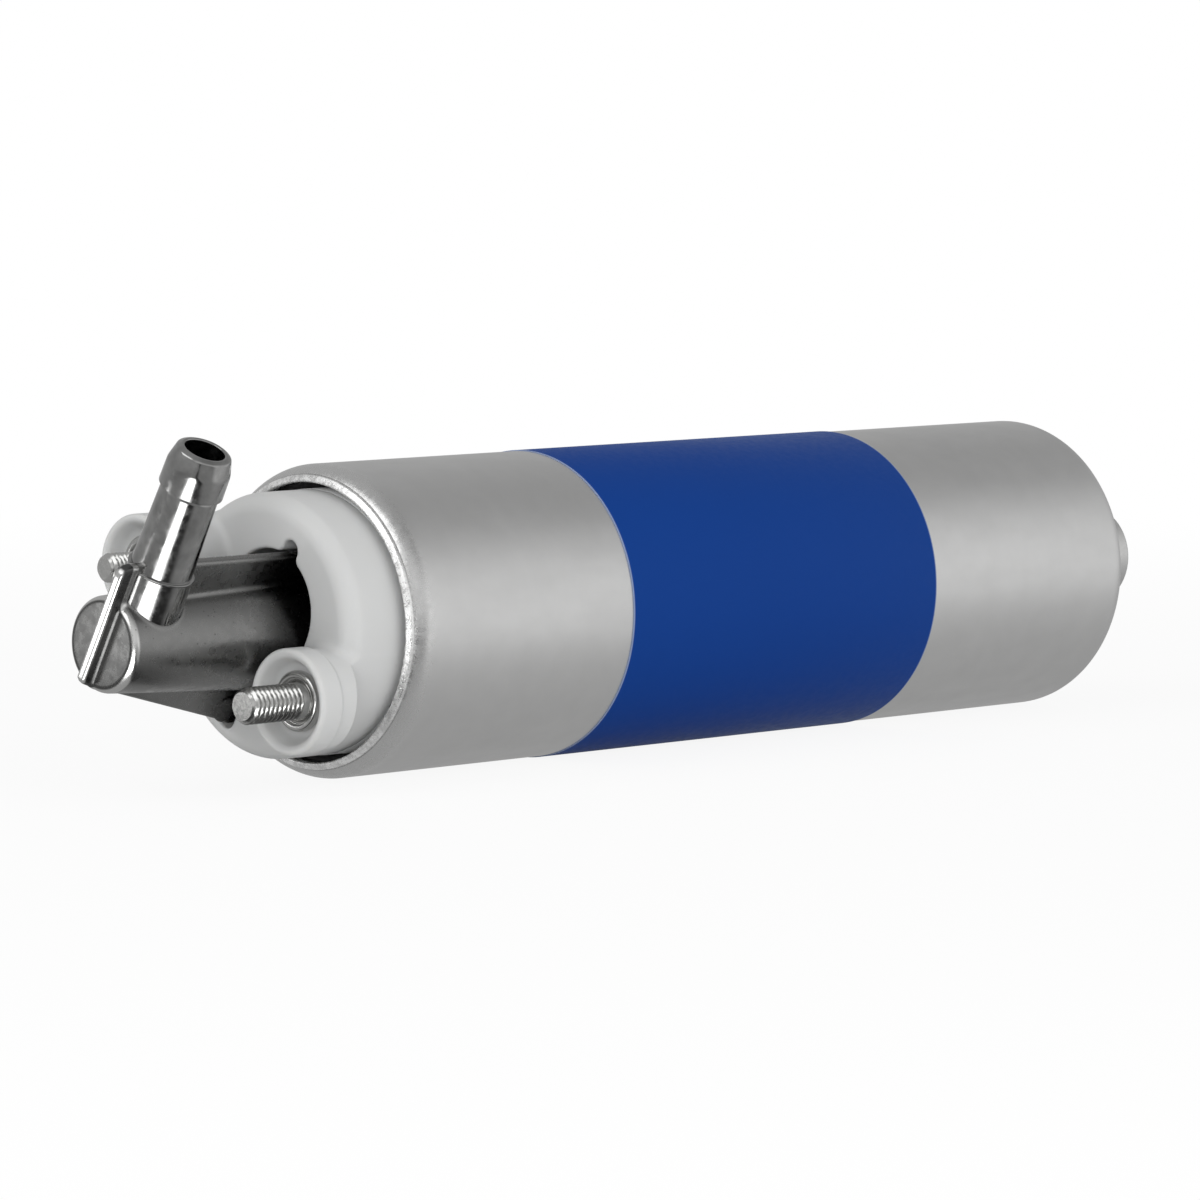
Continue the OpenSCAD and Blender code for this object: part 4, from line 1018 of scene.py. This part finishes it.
class MakeFitting(bpy.types.Operator):
    """Make the cast outlet fitting and its turned nipple"""
    bl_idname = "fuel_pump.make_fitting"
    bl_label = "Outlet fitting"

    def execute(self, context):
        settings = context.scene.fuel_pump
        s = settings.fitting
        place = Matrix.Translation((0, 0, -s.drop)) @ Matrix.Rotation(s.tilt, 4, "X")
        low = (s.barrel_x - s.fin - MM, -s.barrel - MM, -s.web_low - MM)
        high = (s.barrel_rear + MM, s.barrel + MM, s.web_top + MM)
        points, faces = moulded(casting_form(s), low, high, s.grid)
        piece("outlet_casting", moved(points, place), faces, casting_finish(settings), "dark_casting",
              ("outlet_fitting",), 0)
        upright = place @ Matrix.Translation((s.nipple_x, 0, 0)) @ Matrix.Rotation(-math.pi / 2, 4, "Y")
        foot, wide, barb_end = 4.6 * MM, s.root + s.step_width, s.land + 3.3 * MM
        root = [(foot, s.bore + 0.02 * MM, 0.0), (foot, wide, 0.0), (s.step - 0.35 * MM, wide, 0.06 * MM),
                (s.step - 0.12 * MM, wide + s.burr, 0.08 * MM),
                (s.step, wide + s.burr - 0.05 * MM, 0.06 * MM), (s.step, s.root, 0.05 * MM)]
        barb = [(s.land - 0.55 * MM, s.neck, 0.3 * MM), (s.land, s.neck - 0.2 * MM, 0.08 * MM),
                (s.land - 0.1 * MM, s.barb, 0.1 * MM), (barb_end, s.barb - 0.05 * MM, 2.4 * MM)]
        mouth = [(s.length - 0.3 * MM, s.mouth + 0.15 * MM, 0.5 * MM),
                 (s.length, s.mouth - 0.45 * MM, 0.25 * MM), (s.length, s.bore, 0.25 * MM)]
        points, faces = turned(filleted(root + barb + mouth, 7), 192)
        piece("outlet_nipple", moved(points, upright), faces, nipple_finish(settings), "dark_casting",
              sharp=50.0)
        return {"FINISHED"}


class MakeStuds(bpy.types.Operator):
    """Make the two threaded terminal studs with their collars"""
    bl_idname = "fuel_pump.make_studs"
    bl_label = "Terminal studs"

    def execute(self, context):
        settings = context.scene.fuel_pump
        s, cap = settings.studs, settings.cap
        tree, material = thread_tree(), stud_finish(settings)
        depth_share, rows_a_pitch, overlap = 0.58, 14, 0.1 * MM
        collar_length, sleeve = 1.2 * MM, 3.4 * MM
        for name, side, radius, pitch, tip_x, collar_x, rise in (
                ("large", -1, s.large, s.large_pitch, s.large_tip_x, s.large_collar_x, cap.large_rise),
                ("small", 1, s.small, s.small_pitch, s.small_tip_x, s.small_collar_x, cap.small_rise)):
            y = side * cap.stud_at * math.cos(cap.stud_angle)
            z = side * cap.stud_at * math.sin(cap.stud_angle) - cap.stud_drop
            end = collar_x - overlap
            thread = grown(tree, Radius=radius, Depth=pitch * depth_share, Pitch=pitch, Start=tip_x, End=end,
                           Chamfer=s.chamfer, Rows=int((end - tip_x) / pitch * rows_a_pitch), Sides=s.around,
                           Finish=material)
            foot, back = cap.crest_x - rise + cap.bore_depth, collar_x + collar_length
            bead = s.collar - 0.95 * MM
            collar = [(collar_x - 0.5 * MM, 0.0, 0.0), (collar_x - 0.5 * MM, radius - 0.12 * MM, 0.0),
                      (collar_x + 0.45 * MM, radius + 0.4 * MM, 0.25 * MM),
                      (collar_x + 0.5 * MM, bead, 0.12 * MM), (collar_x, bead + 0.03 * MM, 0.42 * MM),
                      (collar_x, s.collar, 0.48 * MM), (back, s.collar, 0.25 * MM)]
            shank = [(back, sleeve, 0.0), (foot, sleeve, 0.0), (foot, cap.shank, 0.0),
                     (cap.plate_x, cap.shank, 0.0), (cap.plate_x, radius, 0.0), (s.tail_x, radius, 0.3 * MM),
                     (s.tail_x, 0.0, 0.0)]
            body = plain_mesh("collar", *turned(filleted(collar + shank, 5), s.around))
            mesh = joined("stud_" + name, thread, body)
            mesh.transform(Matrix.Translation((0, y, z)))
            finished("terminal_" + name, mesh, material, ("stud_" + name,))
        return {"FINISHED"}


class MakeCover(bpy.types.Operator):
    """Make the inlet cover with its spigot"""
    bl_idname = "fuel_pump.make_cover"
    bl_label = "Inlet cover"

    def execute(self, context):
        settings = context.scene.fuel_pump
        s = settings.cover
        wall_x, soft, edge = settings.tube.rear_x - settings.tube.rear_wall, 0.1 * MM, 0.5 * MM
        groove_x, groove_low, groove_high = wall_x - 1.9 * MM, 12.0 * MM, 14.4 * MM
        seat_x, seat, inner = s.front_x + 7.2 * MM, s.bore + 1.4 * MM, s.radius - 1.7 * MM
        corners = [(s.front_x, s.radius, 0.2 * MM), (wall_x, s.radius, 2.6 * MM), (wall_x, groove_high, soft),
                   (groove_x, groove_high, soft), (groove_x, groove_low, soft), (wall_x, groove_low, soft),
                   (wall_x, s.neck, 0.0), (s.neck_x, s.neck, 0.4 * MM), (s.neck_x, s.spigot, edge),
                   (s.tip_x, s.spigot, 0.8 * MM), (s.tip_x, s.bore, edge), (seat_x, s.bore, 0.0),
                   (seat_x, seat, 0.0), (s.front_x + 6.2 * MM, seat, 0.0),
                   (s.front_x + 3.2 * MM, inner, 0.3 * MM), (s.front_x, inner, 0.2 * MM)]
        piece("inlet_spigot", *turned(filleted(corners, 5)), inner_finish("cast_alloy"), "cast_alloy",
              ("inlet_cover",), 45.0)
        return {"FINISHED"}


class MakeSprings(bpy.types.Operator):
    """Make the springs, each a copy of its frame mesh with its finish"""
    bl_idname = "fuel_pump.make_springs"
    bl_label = "Springs"

    def execute(self, context):
        slots = {row["node"]: row["material_slot"] for row in frame["record"]["subparts"]}
        for joint in frame["record"]["behaviour"]["joints"]:
            for spring in joint.get("deforming_nodes", ()):
                node, way = spring["node"], spring["mode"][-1]
                fixed, row = spring["fixed_end_%s_m" % way], "xyz".index(way)
                axis, anchor = Vector((0, 0, 0)), Vector((0, 0, 0))
                axis[row], anchor[row] = 1.0, fixed
                made = finished(node + "_coil", frame["nodes"][node].data.copy(), inner_finish(slots[node]),
                                (node,))
                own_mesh(made)
        return {"FINISHED"}


class DressFrame(bpy.types.Operator):
    """Give every piece of the frame its finish"""
    bl_idname = "fuel_pump.dress_frame"
    bl_label = "Inner pieces"

    def execute(self, context):
        settings = context.scene.fuel_pump
        outer = {"aluminium_tube": tube_finish, "blue_film": band_finish, "white_plastic": cap_finish,
                 "dark_casting": casting_finish, "zinc_steel": stud_finish}
        for row in frame["record"]["subparts"]:
            slot = row["material_slot"]
            material = outer[slot](settings) if slot in outer else inner_finish(slot)
            node = frame["nodes"][row["node"]]
            node.data.materials.clear()
            node.data.materials.append(material)
        return {"FINISHED"}


# Each lamp: its place, what it points at, its width and height, the setting that holds its power, and the
# rays that don't see it
MIDDLE = (-20 * MM, 0.0, 0.0)
STRIP_PLACE = (-0.1565, -0.0315, CAD_BOX[0].z + MM)
LAMPS = {
    "front_lamp": ((0.25, -1.1, 0.42), MIDDLE, 1.4, 0.8, "key_power", ("glossy",)),
    "outlet_lamp": ((-0.92, 0.06, 0.72), MIDDLE, 0.9, 0.7, "side_power", ()),
    "fill_lamp": ((-0.85, -0.5, 0.12), MIDDLE, 0.5, 0.35, "fill_power", ("glossy",)),
    "strip_lamp": (STRIP_PLACE, (*STRIP_PLACE[:2], 1.0), 0.08, 0.035, "strip_power", ("camera", "diffuse")),
    "fin_lamp": ((-0.155, 0.0405, -0.0015), (-0.1124, 0.0, 0.001), 0.022, 0.02, "fin_power",
                 ("camera", "diffuse")),
}
# The camera's sensor in millimetres, and the nearest and furthest that it sees
CAMERA_FRAME = (36.0, 0.05, 50.0)
# The floor in the metal's reflections: where each change of level begins and ends, the dark card's two edges
# from the low strip's line, and a point on that line
FLOOR_REACH = 6.0
FLOOR_FRONT = (-125 * MM, 0.0)
FLOOR_OUTLET, OUTLET_SHARE = (-95 * MM, -60 * MM), 0.95
CARD_ALONG = (-100 * MM, -85 * MM)
CARD_NEAR, CARD_FAR = (14 * MM, 17 * MM), (30 * MM, 40 * MM)
CARD_LINE = (-0.147, -0.0275)
WHITE_FROM, WHITE_TO = 0.12, 0.5
# The world: the way that its front faces, and how its light changes with how far a way turns from an aim
WORLD_FRONT = (0.717, -0.697, 0.0)
FRONT_TURN, BACK_TURN, BACK_LEVEL = (0.62, 1.04), (0.0, 0.45), 0.11
OUTLET_SIDE, OUTLET_TURN = (-0.35, -0.937, 0.0), (0.5, 0.95)
REAR_SIDE, REAR_TURN, REAR_LEVEL = (1.0, 0.0, 0.0), (0.85, 0.99), 0.12


class MakeStage(bpy.types.Operator):
    """Make the pale floor, the soft lamps, the world and the camera"""
    bl_idname = "fuel_pump.make_stage"
    bl_label = "Stage"

    def execute(self, context):
        settings = context.scene.fuel_pump
        s = settings.stage
        scene = context.scene
        scene.view_settings.view_transform = "Standard"
        self.floor(settings)
        self.world(scene, s)
        for name, (place, target, width, height, power, unlit) in LAMPS.items():
            data = bpy.data.lights.new(name, "AREA")
            data.shape, data.size, data.size_y, data.energy = "RECTANGLE", width, height, getattr(s, power)
            lamp = self.aimed(name, data, place, Vector(target) - Vector(place))
            for rays in unlit:
                setattr(lamp, "visible_" + rays, False)
            if name == "strip_lamp":
                lamp.rotation_mode = "XYZ"
                lamp.rotation_euler = (math.pi, 0.0, s.strip_turn)
        camera = bpy.data.cameras.new("camera")
        camera.lens, camera.sensor_width, camera.clip_start, camera.clip_end = s.lens, *CAMERA_FRAME
        scene.camera = self.aimed("camera", camera, s.camera, Vector(s.forward))
        return {"FINISHED"}

    def aimed(self, name, data, place, way):
        """A lamp or camera at its place, looking along its way."""
        made = placed(name, data)
        made.location = place
        made.rotation_mode = "QUATERNION"
        made.rotation_quaternion = way.to_track_quat("-Z", "Y")
        return made

    def floor(self, settings):
        """A floor that the camera sees nearly white and the metal mirrors darker, with a dark card on it."""
        s, z, far = settings.stage, CAD_BOX[0].z, FLOOR_REACH
        mesh = plain_mesh("floor", [(-far, -far, z), (far, -far, z), (far, far, z), (-far, far, z)],
                          [(0, 1, 2, 3)])
        material = bpy.data.materials.new("pale_floor")
        material.use_nodes = True
        tree = material.node_tree
        tree.nodes.clear()
        wire, path = Wiring(tree), add(tree, "ShaderNodeLightPath").outputs
        plain = add(tree, "ShaderNodeBsdfDiffuse", {"Color": (*settings.colours.floor, 1.0)}).outputs[0]
        white = add(tree, "ShaderNodeEmission", {"Strength": 1.0}).outputs[0]
        level = wire.ramp(wire.along("Y"), *FLOOR_FRONT, s.floor_far, s.floor_near)
        level = wire.mix(wire.ramp(wire.along(), *FLOOR_OUTLET, 1.0, 0.0), level, s.floor_near * OUTLET_SHARE)
        normal = (math.sin(s.strip_turn), -math.cos(s.strip_turn), 0.0)
        off = wire.vector("DOT_PRODUCT", wire.place(), normal)
        line = CARD_LINE[0] * normal[0] + CARD_LINE[1] * normal[1]
        card = wire.times(wire.ramp(off, *[line + at for at in CARD_NEAR]),
                          wire.ramp(off, *[line + at for at in CARD_FAR], 1.0, 0.0),
                          wire.ramp(wire.along(), *CARD_ALONG, 1.0, 0.0))
        level = wire.mix(card, level, s.card_level)
        mirrored = add(tree, "ShaderNodeEmission", {"Strength": level}).outputs[0]
        white_share = wire.ramp(wire.vector("LENGTH", wire.place()), WHITE_FROM, WHITE_TO, s.floor_share, 1.0)
        share = wire.times(path["Is Camera Ray"], white_share)
        seen = add(tree, "ShaderNodeMixShader", {0: share, 1: plain, 2: white}).outputs[0]
        mixed = add(tree, "ShaderNodeMixShader", {0: path["Is Glossy Ray"], 1: seen, 2: mirrored})
        add(tree, "ShaderNodeOutputMaterial", {0: mixed.outputs[0]})
        material.cycles.emission_sampling = "NONE"
        mesh.materials.append(material)
        placed("floor", mesh)

    def world(self, scene, s):
        """Soft light all round, stronger from the front; the camera sees plain white."""
        world = bpy.data.worlds.new("studio")
        world.use_nodes = True
        scene.world = world
        tree = world.node_tree
        tree.nodes.clear()
        wire, path = Wiring(tree), add(tree, "ShaderNodeLightPath").outputs
        way = add(tree, "ShaderNodeTexCoord").outputs["Generated"]
        toward = wire.vector("DOT_PRODUCT", way, WORLD_FRONT)
        level = wire.plus(wire.ramp(toward, *FRONT_TURN, s.world_low, s.world_high),
                          wire.ramp(toward, *BACK_TURN, BACK_LEVEL, 0.0))
        for aim, turn, most in ((OUTLET_SIDE, OUTLET_TURN, s.world_roll), (REAR_SIDE, REAR_TURN, REAR_LEVEL)):
            near = wire.vector("DOT_PRODUCT", way, aim)
            level = wire.plus(level, wire.ramp(near, *turn, 0.0, most))
        level = wire.mix(path["Is Camera Ray"], level, 1.0)
        plain = add(tree, "ShaderNodeBackground", {"Color": (1.0, 1.0, 1.0, 1.0), "Strength": level})
        add(tree, "ShaderNodeOutputWorld", {0: plain.outputs[0]})


class PumpPanel(bpy.types.Panel):
    """Lists the pieces of the pump and their settings"""
    bl_idname = "VIEW3D_PT_fuel_pump"
    bl_label = "Fuel pump"
    bl_space_type = "VIEW_3D"
    bl_region_type = "UI"
    bl_category = "Fuel Pump"

    def draw(self, context):
        settings = context.scene.fuel_pump
        for operator in OPERATORS:
            self.layout.operator(operator.bl_idname)
        for name in PumpSettings.__annotations__:
            box = self.layout.box()
            box.label(text=name.capitalize())
            group_of_settings = getattr(settings, name)
            for key in type(group_of_settings).__annotations__:
                box.prop(group_of_settings, key)


OPERATORS = (MakeTube, MakeCap, MakeFitting, MakeStuds, MakeCover, MakeSprings, DressFrame, MakeStage)
CLASSES = (TubeSizes, CapSizes, FittingSizes, StudSizes, CoverSizes, FinishColours, StageSizes, PumpSettings,
           *OPERATORS, PumpPanel)


def register():
    for each in CLASSES:
        bpy.utils.register_class(each)
    bpy.types.Scene.fuel_pump = PointerProperty(type=PumpSettings)


def unregister():
    del bpy.types.Scene.fuel_pump
    for each in reversed(CLASSES):
        bpy.utils.unregister_class(each)


def main():
    register()
    for operator in OPERATORS:
        space, name = operator.bl_idname.split(".")
        getattr(getattr(bpy.ops, space), name)()


if __name__ == "__main__":
    main()
